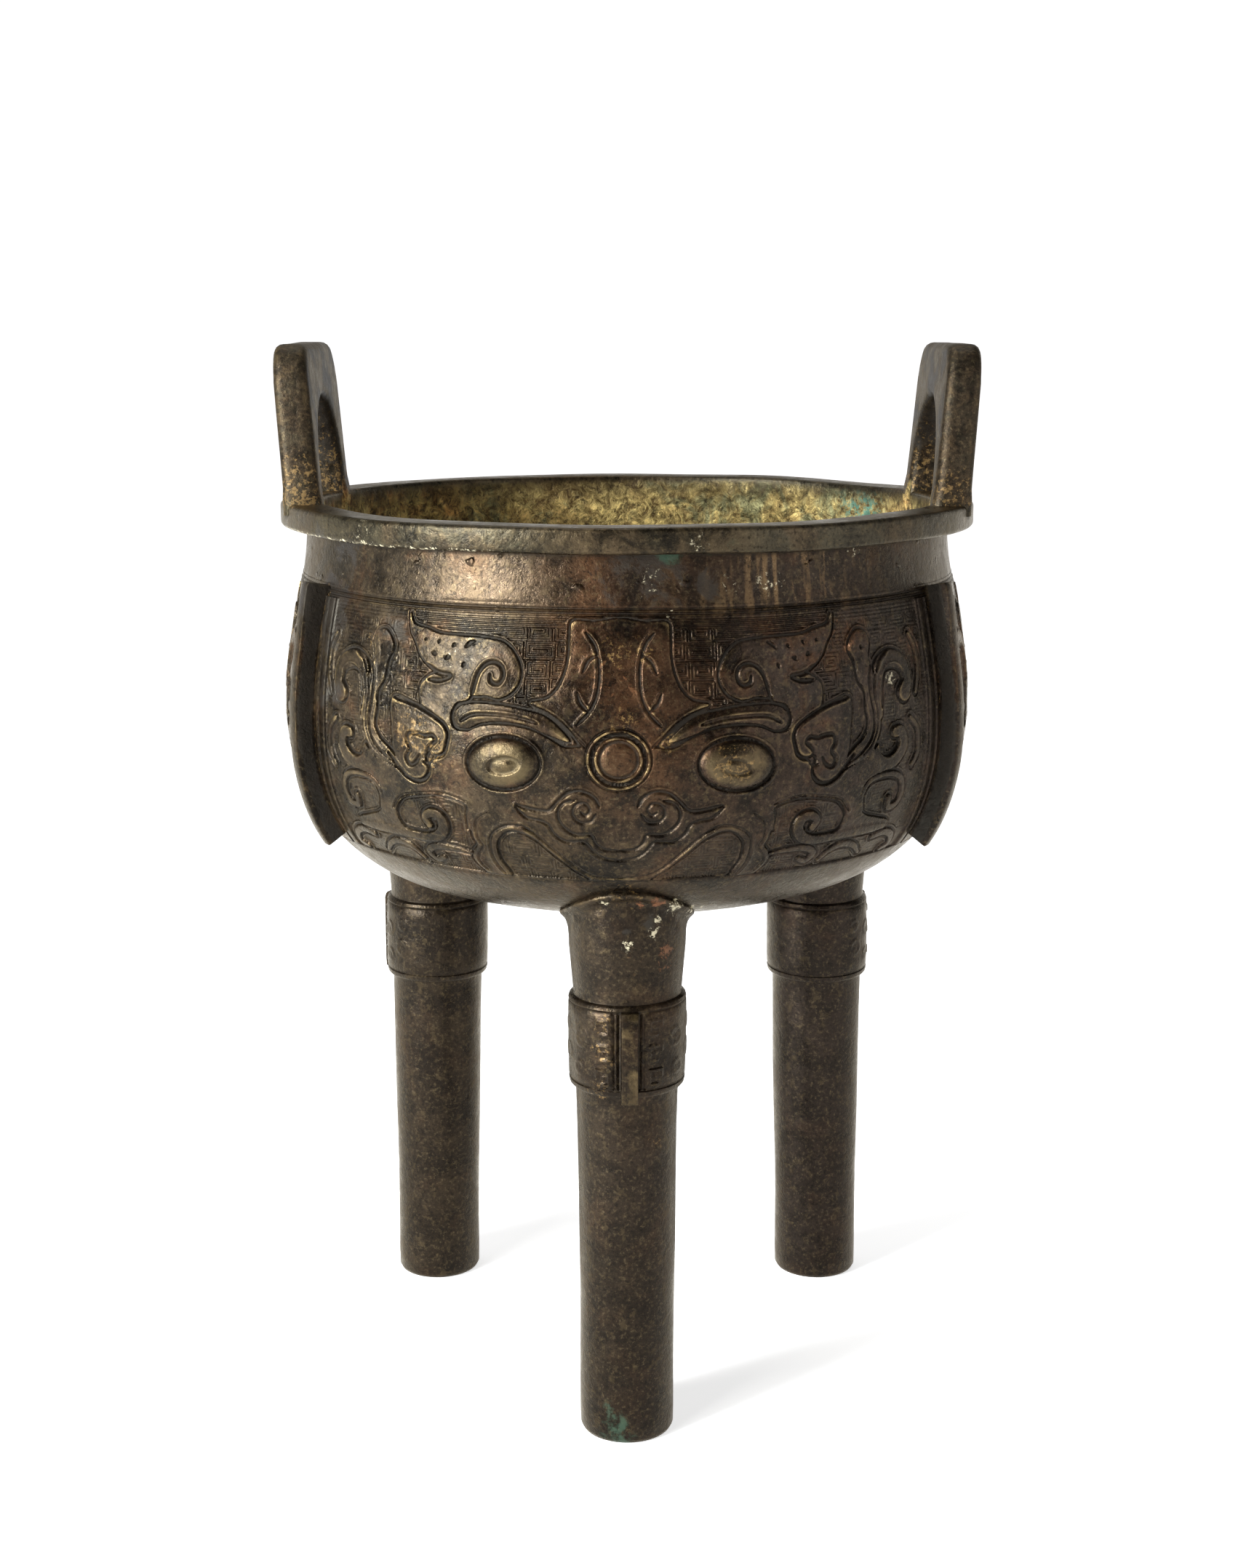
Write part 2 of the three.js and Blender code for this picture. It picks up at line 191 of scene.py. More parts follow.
def mesh_object(name, points, quads, triangles):
    """An object from points about the bowl's axis, with its normals outwards."""
    mesh = bpy.data.meshes.new(name)
    groups = [np.asarray(f, np.int32) for f in (quads, triangles)]
    loops = np.concatenate([g.ravel() for g in groups])
    sizes = np.concatenate([np.full(len(g), g.shape[1], np.int32) for g in groups])
    mesh.vertices.add(len(points))
    mesh.vertices.foreach_set("co", row_frame(points).astype(np.float32).ravel())
    mesh.loops.add(len(loops))
    mesh.loops.foreach_set("vertex_index", loops)
    mesh.polygons.add(len(sizes))
    mesh.polygons.foreach_set("loop_start", np.concatenate([[0], np.cumsum(sizes)[:-1]]).astype(np.int32))
    mesh.update(calc_edges=True)
    mesh.validate()
    bm = bmesh.new()
    bm.from_mesh(mesh)
    bmesh.ops.recalc_face_normals(bm, faces=bm.faces)
    if bm.calc_volume(signed=True) < 0:
        bmesh.ops.reverse_faces(bm, faces=bm.faces)
    bm.to_mesh(mesh)
    bm.free()
    return add_object(name, mesh)


def grid_faces(rows, columns, joined=False):
    """Quads over a grid of points in rows; with joined, the last column meets the first."""
    last = columns if joined else columns - 1
    i, j = np.meshgrid(np.arange(rows - 1), np.arange(last), indexing="ij")
    j2 = (j + 1) % columns
    return np.stack([i * columns + j, i * columns + j2, (i + 1) * columns + j2, (i + 1) * columns + j],
                    -1).reshape(-1, 4)


def skin(name, rings, first, last):
    """A closed skin over rings of points, with a fan of triangles from a point at each end."""
    rows, n = rings.shape[:2]
    k = np.arange(n)
    far = (rows - 1) * n
    fans = np.vstack([np.stack([np.full(n, rows * n), (k + 1) % n, k], -1),
                      np.stack([np.full(n, rows * n + 1), far + k, far + (k + 1) % n], -1)])
    points = np.vstack([rings.reshape(-1, 3), first, last])
    return mesh_object(name, points, grid_faces(rows, n, True), fans)


def loft(name, rings):
    rings = np.asarray(rings, float)
    return skin(name, rings, rings[0].mean(0), rings[-1].mean(0))


def lathe(name, profile, sides, roughen=None):
    """A closed body turned about the axis from a profile that starts and ends on it."""
    profile = np.asarray(profile, float)
    inner = profile[1:-1]
    a = np.arange(sides) * 2 * math.pi / sides
    ring = np.stack([np.sin(a), -np.cos(a), np.zeros(sides)], -1)
    rings = inner[:, None, 0, None] * ring[None] + inner[:, None, 1, None] * [0, 0, 1]
    if roughen:
        rings = roughen(rings.reshape(-1, 3)).reshape(rings.shape)
    return skin(name, rings, [0, 0, profile[0][1]], [0, 0, profile[-1][1]])


def turned(points, angle):
    c, s = math.cos(angle), math.sin(angle)
    p = np.asarray(points, float)
    return np.stack([c * p[..., 0] - s * p[..., 1], s * p[..., 0] + c * p[..., 1], p[..., 2]], -1)


def apply_modifiers(ob):
    bpy.context.view_layer.update()
    made = bpy.data.meshes.new_from_object(ob.evaluated_get(bpy.context.evaluated_depsgraph_get()))
    ob.modifiers.clear()
    old = ob.data
    ob.data = made
    made.name = ob.name
    bpy.data.meshes.remove(old)


def thin_to(ob, budget):
    """Collapses the flattest places until about budget triangles are left."""
    ob.data.calc_loop_triangles()
    m = ob.modifiers.new("thin", "DECIMATE")
    m.ratio = budget / len(ob.data.loop_triangles)
    m.use_collapse_triangulate = True
    apply_modifiers(ob)


def combine(ob, others, operation):
    """Joins other closed objects to ob, or cuts them from it, and takes them away."""
    for other in others:
        m = ob.modifiers.new("join", "BOOLEAN")
        m.operation = operation
        m.solver = "MANIFOLD"
        m.object = other
        apply_modifiers(ob)
        bpy.data.objects.remove(other)


def positions(ob):
    """Vertex positions about the bowl's axis, in millimetres."""
    co = np.zeros(len(ob.data.vertices) * 3, np.float32)
    ob.data.vertices.foreach_get("co", co)
    p = co.reshape(-1, 3).astype(float) * 1000
    p[:, 1] -= AXIS_Y
    return p


def set_positions(ob, points):
    ob.data.vertices.foreach_set("co", row_frame(points).astype(np.float32).ravel())
    ob.data.update()


def set_attribute(ob, name, values):
    a = ob.data.attributes.new(name, "FLOAT", "POINT")
    a.data.foreach_set("value", np.asarray(values, np.float32))


def edge_crest(ob, p):
    """How far each point stands over its neighbours, in millimetres, smoothed: edges high, corners low."""
    mesh = ob.data
    edges = np.zeros(len(mesh.edges) * 2, np.int32)
    mesh.edges.foreach_get("vertices", edges)
    a, b = edges.reshape(-1, 2).T
    normal = np.zeros(len(p) * 3, np.float32)
    mesh.vertices.foreach_get("normal", normal)
    normal = normal.reshape(-1, 3)
    way = p[b] - p[a]
    long = np.linalg.norm(way, axis=1) + 1e-9
    total, count = np.zeros(len(p)), np.full(len(p), 1e-9)
    near = long < 4
    for start, end, turn in ((a, b, -1), (b, a, 1)):
        slope = turn * (normal[start] * way).sum(1) / long
        np.add.at(total, start[near], slope[near])
        np.add.at(count, start[near], 1)
    crest = total / count
    total, count = crest.copy(), np.ones(len(p))
    for start, end in ((a[near], b[near]), (b[near], a[near])):
        np.add.at(total, start, crest[end])
        np.add.at(count, start, 1)
    return total / count


def cast_unevenness(p):
    """The slight wander of the mould, the same for every piece so that they stay together."""
    return p + 0.22 * np.stack([waves(p, 70, k) for k in (1, 2, 3)], -1) * smoothstep(2, 12, p[:, 2])[:, None]


# ---------------------------------------------------------------- the mask's relief

# Half of a mask, each outline as knots (x, s) from its middle.
FOREHEAD = [(-3, 20.3), (8, 20.3), (14.6, 20.4), (15.1, 24), (15.1, 30), (16, 35), (18.2, 40),
            (21.5, 43), (26.5, 44.2), (20.5, 47.2), (16.5, 50), (13, 53.6), (10, 57), (-3, 60)]
BROW = [(14.3, 55.2), (18, 50.8), (22.5, 47.7), (30, 46), (38, 45.1), (46, 45.3), (50.3, 47),
        (51.3, 49.5), (49.8, 52.3), (46.8, 52.8), (42, 50.8), (35, 50), (27, 51), (21, 53.4)]
HORN = [(69.7, 19.6), (67.9, 22.8), (62.3, 24.2), (57.7, 25.4), (50, 25.6), (40.7, 26), (35.7, 27),
        (32.2, 30), (30.2, 34), (30.3, 38), (32.7, 41.5), (36.7, 43.3), (41, 42.6), (45.5, 42.8),
        (48.6, 40), (53.3, 37.6), (57.3, 36.8), (61.3, 34.6), (64.1, 32.2), (66.5, 28.2), (68.6, 25.2)]
FACE = [(-3, 56), (9, 56.5), (15.5, 57), (21, 54.2), (27, 51.8), (35, 50.9), (42, 51.6), (47, 53.6),
        (51, 53), (52.3, 49.5), (50.5, 45.6), (46.4, 44), (45, 38), (53, 36.6), (58.5, 37.2),
        (61.8, 39.2), (63.3, 41), (62.3, 47.2), (57.3, 49.9), (53.8, 52.2), (52.4, 55), (53, 58),
        (54.2, 61), (57.6, 62.8), (59.5, 65.4), (60, 68), (62.3, 70.4), (66, 70.8), (71.3, 67.6),
        (76, 65.8), (82.1, 64), (86, 61), (89, 66.5), (90, 69.3), (85, 70.5), (81.5, 72.2), (80, 76),
        (80.7, 80), (84, 83), (90, 85), (97, 87.5), (94, 90), (77, 90.4), (66, 90), (60, 89),
        (55.6, 86), (50, 84), (47.6, 84.4), (47.3, 87), (46.4, 89.3), (48.4, 91.9), (49.3, 95),
        (47.5, 98.4), (45, 100.9), (-3, 100.9)]
EAR = [(73.6, 45.5), (67.3, 46.6), (62.3, 48.3), (57.3, 50.6), (54.5, 52.8), (53.4, 55), (53.9, 57.6),
       (54.9, 60.4), (57, 61.6), (60.2, 61), (61.2, 63.2), (60.2, 65.2), (60.7, 67.4), (62.4, 69.2),
       (65, 69.8), (68.1, 68.8), (71, 66.2), (72.9, 62.6), (73.7, 55)]
SIDE_BODY = [(79.5, 25.6), (76.6, 27.6), (75, 31), (76.9, 35), (77.9, 40.6), (80.4, 44.6), (80.4, 49),
             (81.3, 54.6), (79.3, 58.2), (75.3, 61.2), (72.6, 63.4), (71.2, 66.6), (76, 65.8), (82.1, 63.9),
             (84.6, 60.4), (86.1, 57), (86.4, 53), (85.1, 49), (85.2, 43), (84, 38.6), (82.6, 34.2),
             (83.6, 29.4), (82.4, 26.4)]
# Pockets of ground inside the raised surfaces.
SCROLL_POCKET = [(47.6, 76.6), (52, 74.8), (58, 74.1), (64.6, 75), (71.1, 76.7), (75, 80.6), (75.5, 83.4),
                 (73.4, 87.2), (66, 87.9), (60.4, 90), (56, 91.5), (50.4, 90.2), (48.4, 84), (48.2, 79.8)]
CHEEK_POCKET = [(28.2, 84.6), (31, 83.5), (34.1, 83.4), (36.8, 84.8), (39.1, 87.6), (39.7, 91), (39.2, 95),
                (37.6, 98.4), (36.5, 101.2), (9.6, 101.2), (14.8, 96.4), (20.4, 91), (25.2, 86.4)]
CURL_POCKET = [(89.4, 41), (93, 40.2), (94.6, 42), (92.2, 44.6), (92.4, 48.4), (89.6, 50), (88, 47),
               (88.2, 43)]

# Raised bands: knots (x, s, half width).
BANDS = [
    [(85.2, 52, 2), (85.9, 43, 2.1), (88, 37.2, 2.5), (93.4, 35.6, 2.7), (98.6, 38, 2.5), (100.2, 43, 2.2),
     (98.4, 46.6, 3)],
    [(83, 64, 2), (88, 67.2, 2.2), (93.5, 66.8, 2.3), (97.4, 62.6, 2.2), (96, 58.6, 2), (93.4, 58.4, 1.7)],
    [(95, 88.8, 1.2), (84, 88.7, 1.9), (74, 89, 1.6), (66, 89.4, 1.6), (60, 87.8, 1.9), (57.4, 84.4, 1.9),
     (58.2, 81.2, 1.7), (61.4, 80.3, 1.5), (63.9, 82.2, 1.3), (62.8, 84.9, 1.1)],
    [(81.6, 81.4, 0.9), (80.6, 77, 0.9), (82.6, 72.6, 0.9), (90, 71, 0.9), (97.4, 72.8, 1), (100, 77.4, 1.1),
     (98.4, 81.8, 1.1), (94.4, 82.2, 1.2), (93.8, 79.2, 1.1)],
    [(49.6, 93, 0.5), (56, 92.3, 0.9), (63.5, 92.6, 1.2), (67, 95.2, 1.2), (64.8, 98, 1.1),
     (61.6, 96.8, 0.9)],
    [(70.4, 98.6, 0.6), (74, 94.6, 1), (79, 93.2, 1.2), (84, 94.6, 1.1), (88.4, 98.4, 0.7)],
    [(92, 92.8, 1), (98, 92, 1.3), (103.6, 94.4, 1.4), (105, 98.4, 1.2), (101.4, 99.6, 1)],
    [(101.6, 55, 0.8), (105.4, 58.6, 1), (106, 66, 1.1), (103.4, 70, 0.9)],
    [(104.4, 29, 0.7), (107.4, 34, 1), (107, 42, 1), (104.8, 47.4, 0.8)],
]
BAND_HEIGHTS = [1.15, 1.1, 1.15, 0.9, 0.75, 0.75, 0.75, 0.7, 0.7]

# Cut lines: half width, depth, then knots (x, s).
CUTS = [
    (0.55, 0.9, [(45.4, 43), (44.6, 39.6), (43.6, 36.4), (41.4, 33.6), (38.6, 32.7), (36, 33.9), (35.2, 36.6),
                 (36.8, 39), (39.2, 38.4), (39.6, 36.4)]),
    (0.45, 0.6, [(24, 50), (30, 48.6), (38, 48), (45, 48.6), (48.5, 50.6)]),
    (0.45, 0.7, [(10.3, 23.5), (7.6, 27), (6.2, 32), (6, 38), (6.9, 43), (9, 47), (12.2, 50.3)]),
    (0.5, 0.7, [(6.9, 30.2), (9.2, 31.6), (10.9, 35)]),
    (0.5, 0.7, [(12.4, 41), (11.4, 43.8), (9.2, 46.2)]),
    (0.4, 0.6, [(9.4, 57), (13, 53.6), (16.5, 50), (20.5, 47.2), (26, 45)]),
    (0.55, 0.9, [(5.6, 74.4), (7, 71.7), (10.7, 69.8), (14.6, 70.3), (17.6, 72.8), (21.1, 76.1), (26.3, 75.8),
                 (31.1, 74.8)]),
    (0.5, 0.85, [(31.4, 75.4), (28, 78.6), (23.7, 79.5), (21.4, 80.6), (19.8, 83.6), (16.2, 86), (10.5, 86.1),
                 (8.2, 89), (5, 91.5), (0, 92.6)]),
    (0.5, 0.85, [(13, 72.6), (16.4, 73.6), (18.1, 76.4), (17.8, 79.4), (16.1, 81.7), (13.3, 83.4),
                 (8.3, 83.6), (7.2, 86.2), (4.6, 88.4), (0, 88.9)]),
    (0.45, 0.7, [(6.6, 76.6), (8.4, 79.2), (11.8, 79.3), (13.6, 76.9), (12.6, 74), (9.8, 73.4), (8.4, 75.6),
                 (9.8, 77.2), (11.2, 76.2)]),
    (0.45, 0.7, [(30, 81.2), (25, 84.6), (20, 89.4), (14.5, 94.8), (9.5, 98.4), (0, 99.9)]),
    (0.4, 0.6, [(26.4, 83.6), (30.6, 81.6), (34.1, 81.6), (37.8, 83), (41, 86), (41.8, 91), (41.2, 95.4),
                (39, 100)]),
    (0.6, 1.0, [(61.3, 34.8), (57.3, 36.9), (53, 37.5), (56, 39), (60.4, 39.2)]),
    (0.55, 1.0, [(73.2, 45.4), (67.3, 46.5), (62.3, 48), (57.3, 50.3), (54.1, 52.4), (52.9, 55), (53.4, 57.8),
                 (54.4, 60.8), (57, 62.2), (59.4, 61.4)]),
    (0.55, 1.0, [(61.6, 64.2), (59.9, 65.2), (60.1, 67.6), (62.1, 69.7), (65, 70.4), (68.3, 69.4),
                 (71.5, 66.6), (75.2, 62.6)]),
    (0.55, 0.9, [(58.4, 62), (60, 60.4), (58.6, 58.6), (57.2, 57.2), (58.4, 55.8), (61.2, 56.2), (64, 55.7),
                 (67.2, 56), (67.6, 58.2), (66.4, 60.6), (67.9, 63), (66.8, 65.4), (64.6, 64.6), (63, 62.2)]),
    (0.35, 0.6, [(83.2, 36), (82, 41), (82.4, 47), (83.6, 53), (82.4, 58.6), (79, 62.2), (74.4, 64.8)]),
    (0.3, 0.45, [(84.6, 40), (83.7, 45), (84.5, 51), (84.8, 55.6), (82.6, 60.6), (79, 63.6)]),
    (0.5, 0.8, [(85.2, 39), (87.4, 35), (90.6, 33.2)]),
    (0.5, 0.8, [(86.8, 50), (87.4, 43.6), (90, 39), (94, 38), (97, 40), (96.6, 42.2)]),
    (0.4, 0.6, [(87, 58), (86.4, 62.4), (89.4, 65), (92.4, 64.4), (94.6, 62), (93.8, 60.4)]),
    (0.4, 0.6, [(47.3, 75.4), (56, 73.4), (64.6, 74.2), (72, 76), (76.2, 80.4)]),
    (0.3, 0.4, [(41, 78), (45, 81), (45.6, 86.6), (44.4, 89.6), (46.4, 92.6), (47.2, 95.2), (45, 99)]),
]
# Comma-shaped pits, all but the last on the horn: middle x, s, length, half width, turn in degrees.
PITS = [(47, 27.6, 4.2, 0.7, 35), (57.7, 27.7, 1.6, 0.6, 60), (52.4, 28.4, 1.7, 0.55, 40),
        (54.4, 32.2, 2.2, 0.7, 30), (48.7, 34, 1.8, 0.6, 60), (59.2, 31.3, 2, 0.75, -20),
        (62.6, 27.4, 1.3, 0.5, 20), (80, 31, 1.6, 0.6, 80)]
EYE = (34.8, 62.3)
EYE_TILT = math.radians(-4)
PUPIL_TILT = math.radians(-10)
NOSE_S = 60.4

PITCH = 0.275
GROUND_TOP = 0.36
RAISED = 0.85
CONTOUR = 0.42
MASK_SHIFT = -2.2
BAND_BACK = -1.7
BAND_BACK_ROWS = 10


def rotated(x, s, angle):
    c, d = math.cos(angle), math.sin(angle)
    return x * c - s * d, x * d + s * c


def edge_distance(curve_points, x, s, reach):
    """Distance from each grid point to a line of points, out to reach, and the nearest segment's place."""
    best = np.full(x.shape, 1e3)
    where = np.zeros(x.shape)
    for k, (a, b) in enumerate(zip(curve_points[:-1, :2], curve_points[1:, :2])):
        lo, hi = np.minimum(a, b) - reach, np.maximum(a, b) + reach
        j0, j1 = np.searchsorted(x[0], [lo[0], hi[0]])
        i0, i1 = np.searchsorted(s[:, 0], [lo[1], hi[1]])
        if j0 >= j1 or i0 >= i1:
            continue
        px, ps = x[i0:i1, j0:j1] - a[0], s[i0:i1, j0:j1] - a[1]
        d = b - a
        t = np.clip((px * d[0] + ps * d[1]) / (d @ d + 1e-12), 0, 1)
        far = np.hypot(px - t * d[0], ps - t * d[1])
        near = far < best[i0:i1, j0:j1]
        best[i0:i1, j0:j1] = np.where(near, far, best[i0:i1, j0:j1])
        where[i0:i1, j0:j1] = np.where(near, k + t, where[i0:i1, j0:j1])
    return best, where


def region(knots, x, s, soft=0.4):
    """1 inside a smooth closed outline, 0 outside, with a soft edge."""
    line = smooth_curve(knots, closed=True)
    line = np.vstack([line, line[:1]])
    within = np.zeros(x.shape, bool)
    for a, b in zip(line[:-1], line[1:]):
        if a[1] == b[1]:
            continue
        crosses = (s >= min(a[1], b[1])) & (s < max(a[1], b[1]))
        within ^= crosses & (x < a[0] + (s - a[1]) * (b[0] - a[0]) / (b[1] - a[1]))
    far, _ = edge_distance(line, x, s, 2.0)
    signed = np.where(within, far, -far)
    return smoothstep(-soft / 2, soft / 2, signed), signed


def leiwen(shape):
    """The ground of square spirals on a lattice of quarter pitches: 1 on a ridge, 0 in a groove."""
    j, i = np.meshgrid(np.arange(shape[1]), np.arange(shape[0]))
    rng = np.random.default_rng(SEED)
    high = 20
    row = i // high
    out = np.zeros(shape)
    for r in range(row.max() + 1):
        at = -int(rng.integers(0, 20))
        while at < shape[1]:
            wide = int(rng.choice([24, 28, 28, 32, 36]))
            flip, turn = rng.random(2) < 0.5
            part = (row == r) & (j >= at) & (j < at + wide)
            px = (j[part] - at - wide // 2) * (-1 if flip else 1)
            py = (i[part] - r * high - high // 2) * (-1 if turn else 1)
            spare = (wide - high) // 2
            upper = np.maximum(np.abs(px) - spare, np.abs(py))
            lower = np.maximum(np.abs(px - 2) - spare, np.abs(py)) + 2
            out[part] = np.where(py >= 0, upper, lower) % 4 < 2
            at += wide
    return out


def half_mask(x, s):
    """Height of the relief over half a mask."""
    lines = leiwen(x.shape)
    level = np.arange(x.shape[0])[:, None] % 4 < 2
    above_horn = (s < 25.5) & (x > 30) & (x < 71) | (s < 22.6) & (x > 15)
    lines = np.where(above_horn, level, lines)
    # The ground's lines are worn away low down and towards the flanges.
    keeps = (0.25 + 0.75 * smoothstep(76, 60, x)) * (0.5 + 0.5 * smoothstep(80, 66, s))
    ground = GROUND_TOP * lines * keeps
    top = np.zeros(x.shape)
    edge = np.full(x.shape, -2.0)
    for knots in (FOREHEAD, FACE, HORN, EAR, SIDE_BODY, BROW):
        inside, signed = region(knots, x, s)
        top = np.maximum(top, inside * RAISED)
        edge = np.maximum(edge, signed)
    for knots in (SCROLL_POCKET, CHEEK_POCKET, CURL_POCKET):
        inside, signed = region(knots, x, s)
        top *= 1 - inside
        edge = np.minimum(edge, -signed)
    for knots, height in zip(BANDS, BAND_HEIGHTS):
        line = smooth_curve(knots)
        far, at = edge_distance(line, x, s, 5.0)
        width = np.interp(at, np.arange(len(line)), line[:, 2])
        round_over = 1 - 0.12 * (far / width).clip(0, 1)**2
        top = np.maximum(top, height * smoothstep(0.25, -0.25, far - width) * round_over)
        edge = np.maximum(edge, width - far)
    # The raised brow and ear stand a little over the face.
    for knots, extra in ((BROW, 0.45), (EAR, 0.2), (FOREHEAD, 0.15), (HORN, 0.15)):
        inside, signed = region(knots, x, s)
        top += extra * inside * smoothstep(0, 2.2, signed)
    for half, depth, knots in CUTS:
        line = smooth_curve(knots)
        far, at = edge_distance(line, x, s, 1.5)
        wide = half * 1.5 * np.interp(at, [0, 3, len(line) - 4, len(line)], [0.45, 1, 1, 0.45])
        top -= depth * 0.75 * np.minimum(top, 1) * smoothstep(1, 0.2, far / wide)
        # A burr thrown up along the cut.
        top += 0.16 * (top > 0.5) * smoothstep(0.55, 0.1, np.abs(far - wide - 0.35))
    for px, ps, length, half, turn in PITS:
        a, b = rotated(x - px, s - ps, -math.radians(turn))
        b = b - 0.25 * np.abs(a) ** 1.5 / length ** 0.5
        top -= 0.75 * smoothstep(1.15, 0.5, np.hypot(a / (length / 2), b / half))
    # The eyeball in its groove, with a lens-shaped pupil.
    ex, es = x - EYE[0], s - EYE[1]
    ea, eb = rotated(ex, es, EYE_TILT)
    oval = np.hypot(ea / 12.6, eb / 9.0)
    socket = (oval - 1) * 10.5
    top += 0.3 * smoothstep(0.7, 0.1, np.abs(socket - 0.1)) * (top > 0)
    top = np.where(socket < -0.5, 0.75 * top * smoothstep(-1.3, -0.5, socket), top)
    ball = np.hypot(ea / 11.5, eb / 7.7)
    bulge = 3.4 * np.clip(1 - ball**2, 0, 1) ** 0.42 - 0.1
    top = np.where(ball < 1, np.maximum(top, bulge), top)
    pa, pb = rotated(ex + 0.9, es - 0.3, PUPIL_TILT)
    lens = np.hypot(pa / 5.4, pb / 2.9)
    top -= 0.75 * smoothstep(1.1, 0.75, lens) - 0.55 * smoothstep(0.75, 0.2, lens)
    # The roundel on the nose: a ring round a low boss.
    far = np.hypot(x / 1.05, s - NOSE_S)
    disc = RAISED - 0.35 * smoothstep(9.7, 9.2, far) + 0.45 * smoothstep(5.6, 3.0, far)
    disc += 0.85 * smoothstep(0.75, 0.15, np.abs(far - 8.5)) + 0.8 * smoothstep(0.7, 0.15, np.abs(far - 6.3))
    disc -= 0.45 * smoothstep(0.9, 0.2, np.abs(far - 7.4)) + 0.2 * smoothstep(0.8, 0.2, np.abs(far - 5.3))
    top = np.where(far < 9.8, disc, top)
    solid_part = np.clip(top / 0.6, 0, 1)
    height = np.maximum(ground * (1 - solid_part) + top * solid_part, np.where(top > 0.05, top, -1))
    # A thin raised contour line stands off every raised edge.
    contour = smoothstep(0.5, 0.15, np.abs(edge + 1.2)) * (top < 0.2)
    gap = smoothstep(0.95, 0.7, -edge) * (top < 0.2) * (edge < 0)
    height = np.where(top < 0.2, height * (1 - gap) + gap * 0.02, height)
    return np.maximum(height, contour * CONTOUR)


def border(height, x, s):
    """The strips beside a flange and the lines along the top and bottom of the band."""
    from_flange = THIRD * WALL_R / 2 - np.abs(x)
    strip = smoothstep(10.6, 10.2, from_flange)
    line = np.interp(from_flange, [0, 2.3, 2.6, 4.5, 4.8, 5.5, 5.8, 9.3, 9.6, 9.9, 10.1, 10.5],
                     [0.9, 0.9, 0.9, 0.9, 0.1, 0.1, 0.8, 0.8, 0.0, 0.0, 0.45, 0.45])
    inside = (s > 18.9) & (s < 101.3)
    height = np.where(inside, height * (1 - strip) + line * strip, height)
    top = np.interp(s, [15.2, 15.6, 16.0, 16.3, 16.6, 17.0, 17.3, 17.6, 18.0, 18.3, 18.6, 18.9, 19.1],
                    [0.12, 0.12, 0.1, -0.3, -0.3, 0.35, 0.35, -0.25, -0.25, 0.35, 0.35, -0.1, -0.1])
    height = np.where(s <= 19.0, top, height)
    low = np.interp(s, [100.9, 101.1, 101.4, 101.7, 102.0, 102.2], [0.5, 0.5, -0.35, -0.35, 0.1, 0.12])
    return np.where(s >= 100.95, low, height)


def blurred(values, reach):
    """A box blur, twice, over a grid."""
    out = values
    for _ in range(2):
        for axis in (0, 1):
            padded = np.pad(out, [(reach + 1, reach) if a == axis else (0, 0) for a in (0, 1)], mode="edge")
            total = np.cumsum(padded, axis=axis)
            n = 2 * reach + 1
            low = np.take(total, np.arange(out.shape[axis]), axis=axis)
            high = np.take(total, np.arange(n, n + out.shape[axis]), axis=axis)
            out = (high - low) / n
    return out


def mask_grid():
    """The relief's height over a third of the wall, on a lattice."""
    columns = int(round(THIRD * WALL_R / 2 / PITCH))
    rows = int(round((BAND_TO - BAND_FROM) / PITCH)) + 1
    x1 = np.linspace(0, THIRD * WALL_R / 2, columns + 1)
    s1 = BAND_FROM + PITCH * np.arange(rows)
    x, s = np.meshgrid(x1, s1)
    height = half_mask(x, s)
    height = np.roll(np.hstack([height[:, :0:-1], height]), int(round(MASK_SHIFT / PITCH)), 1)
    x = np.hstack([-x[:, :0:-1], x])
    s = np.hstack([s[:, :0:-1], s])
    return x, s, border(height, x, s)


def on_wall(x, s, h):
    """Points about the axis at places on the wall, h off it."""
    r, z, nr, nz = wall_at(s)
    a = x / WALL_R
    rr = r + h * nr
    return np.stack([rr * np.sin(a), -rr * np.cos(a), z + h * nz], -1)


def zip_edge(a, sa, b, sb):
    """Triangles between two rows of point numbers, by their places along the edge."""
    out, i, j = [], 0, 0
    while i < len(a) - 1 or j < len(b) - 1:
        if j == len(b) - 1 or (i < len(a) - 1 and sa[i + 1] <= sb[j + 1]):
            out.append((a[i], a[i + 1], b[j]))
            i += 1
        else:
            out.append((a[i], b[j + 1], b[j]))
            j += 1
    return out


def mask_band(name):
    """A third of the band of relief: a thin closed shell let into the wall, with its masks in front."""
    x, s, height = mask_grid()
    rows, columns = x.shape
    back_s = np.linspace(s[0, 0], s[-1, 0], BAND_BACK_ROWS)
    bx, bs = np.meshgrid(x[0], back_s)
    points = np.vstack([on_wall(x.ravel(), s.ravel(), height.ravel()),
                        on_wall(bx.ravel(), bs.ravel(), BAND_BACK)])
    n = rows * columns
    front = grid_faces(rows, columns)
    back = grid_faces(BAND_BACK_ROWS, columns)[:, ::-1] + n
    far = n + (BAND_BACK_ROWS - 1) * columns
    c = np.arange(columns - 1)
    top = np.stack([c, n + c, n + c + 1, c + 1], -1)
    last = (rows - 1) * columns
    bottom = np.stack([last + c, last + c + 1, far + c + 1, far + c], -1)
    left_front, left_back = np.arange(rows) * columns, n + np.arange(BAND_BACK_ROWS) * columns
    left = zip_edge(left_front, s[:, 0], left_back, back_s)
    right = [t[::-1] for t in zip_edge(left_front + columns - 1, s[:, 0], left_back + columns - 1, back_s)]
    ob = mesh_object(name, points, np.vstack([front, back, top, bottom]), left + right)
    thin_to(ob, BAND_TRIANGLES)
    return ob, dict(x=x[0], s=s[:, 0], height=height, crest=height - blurred(height, 4))


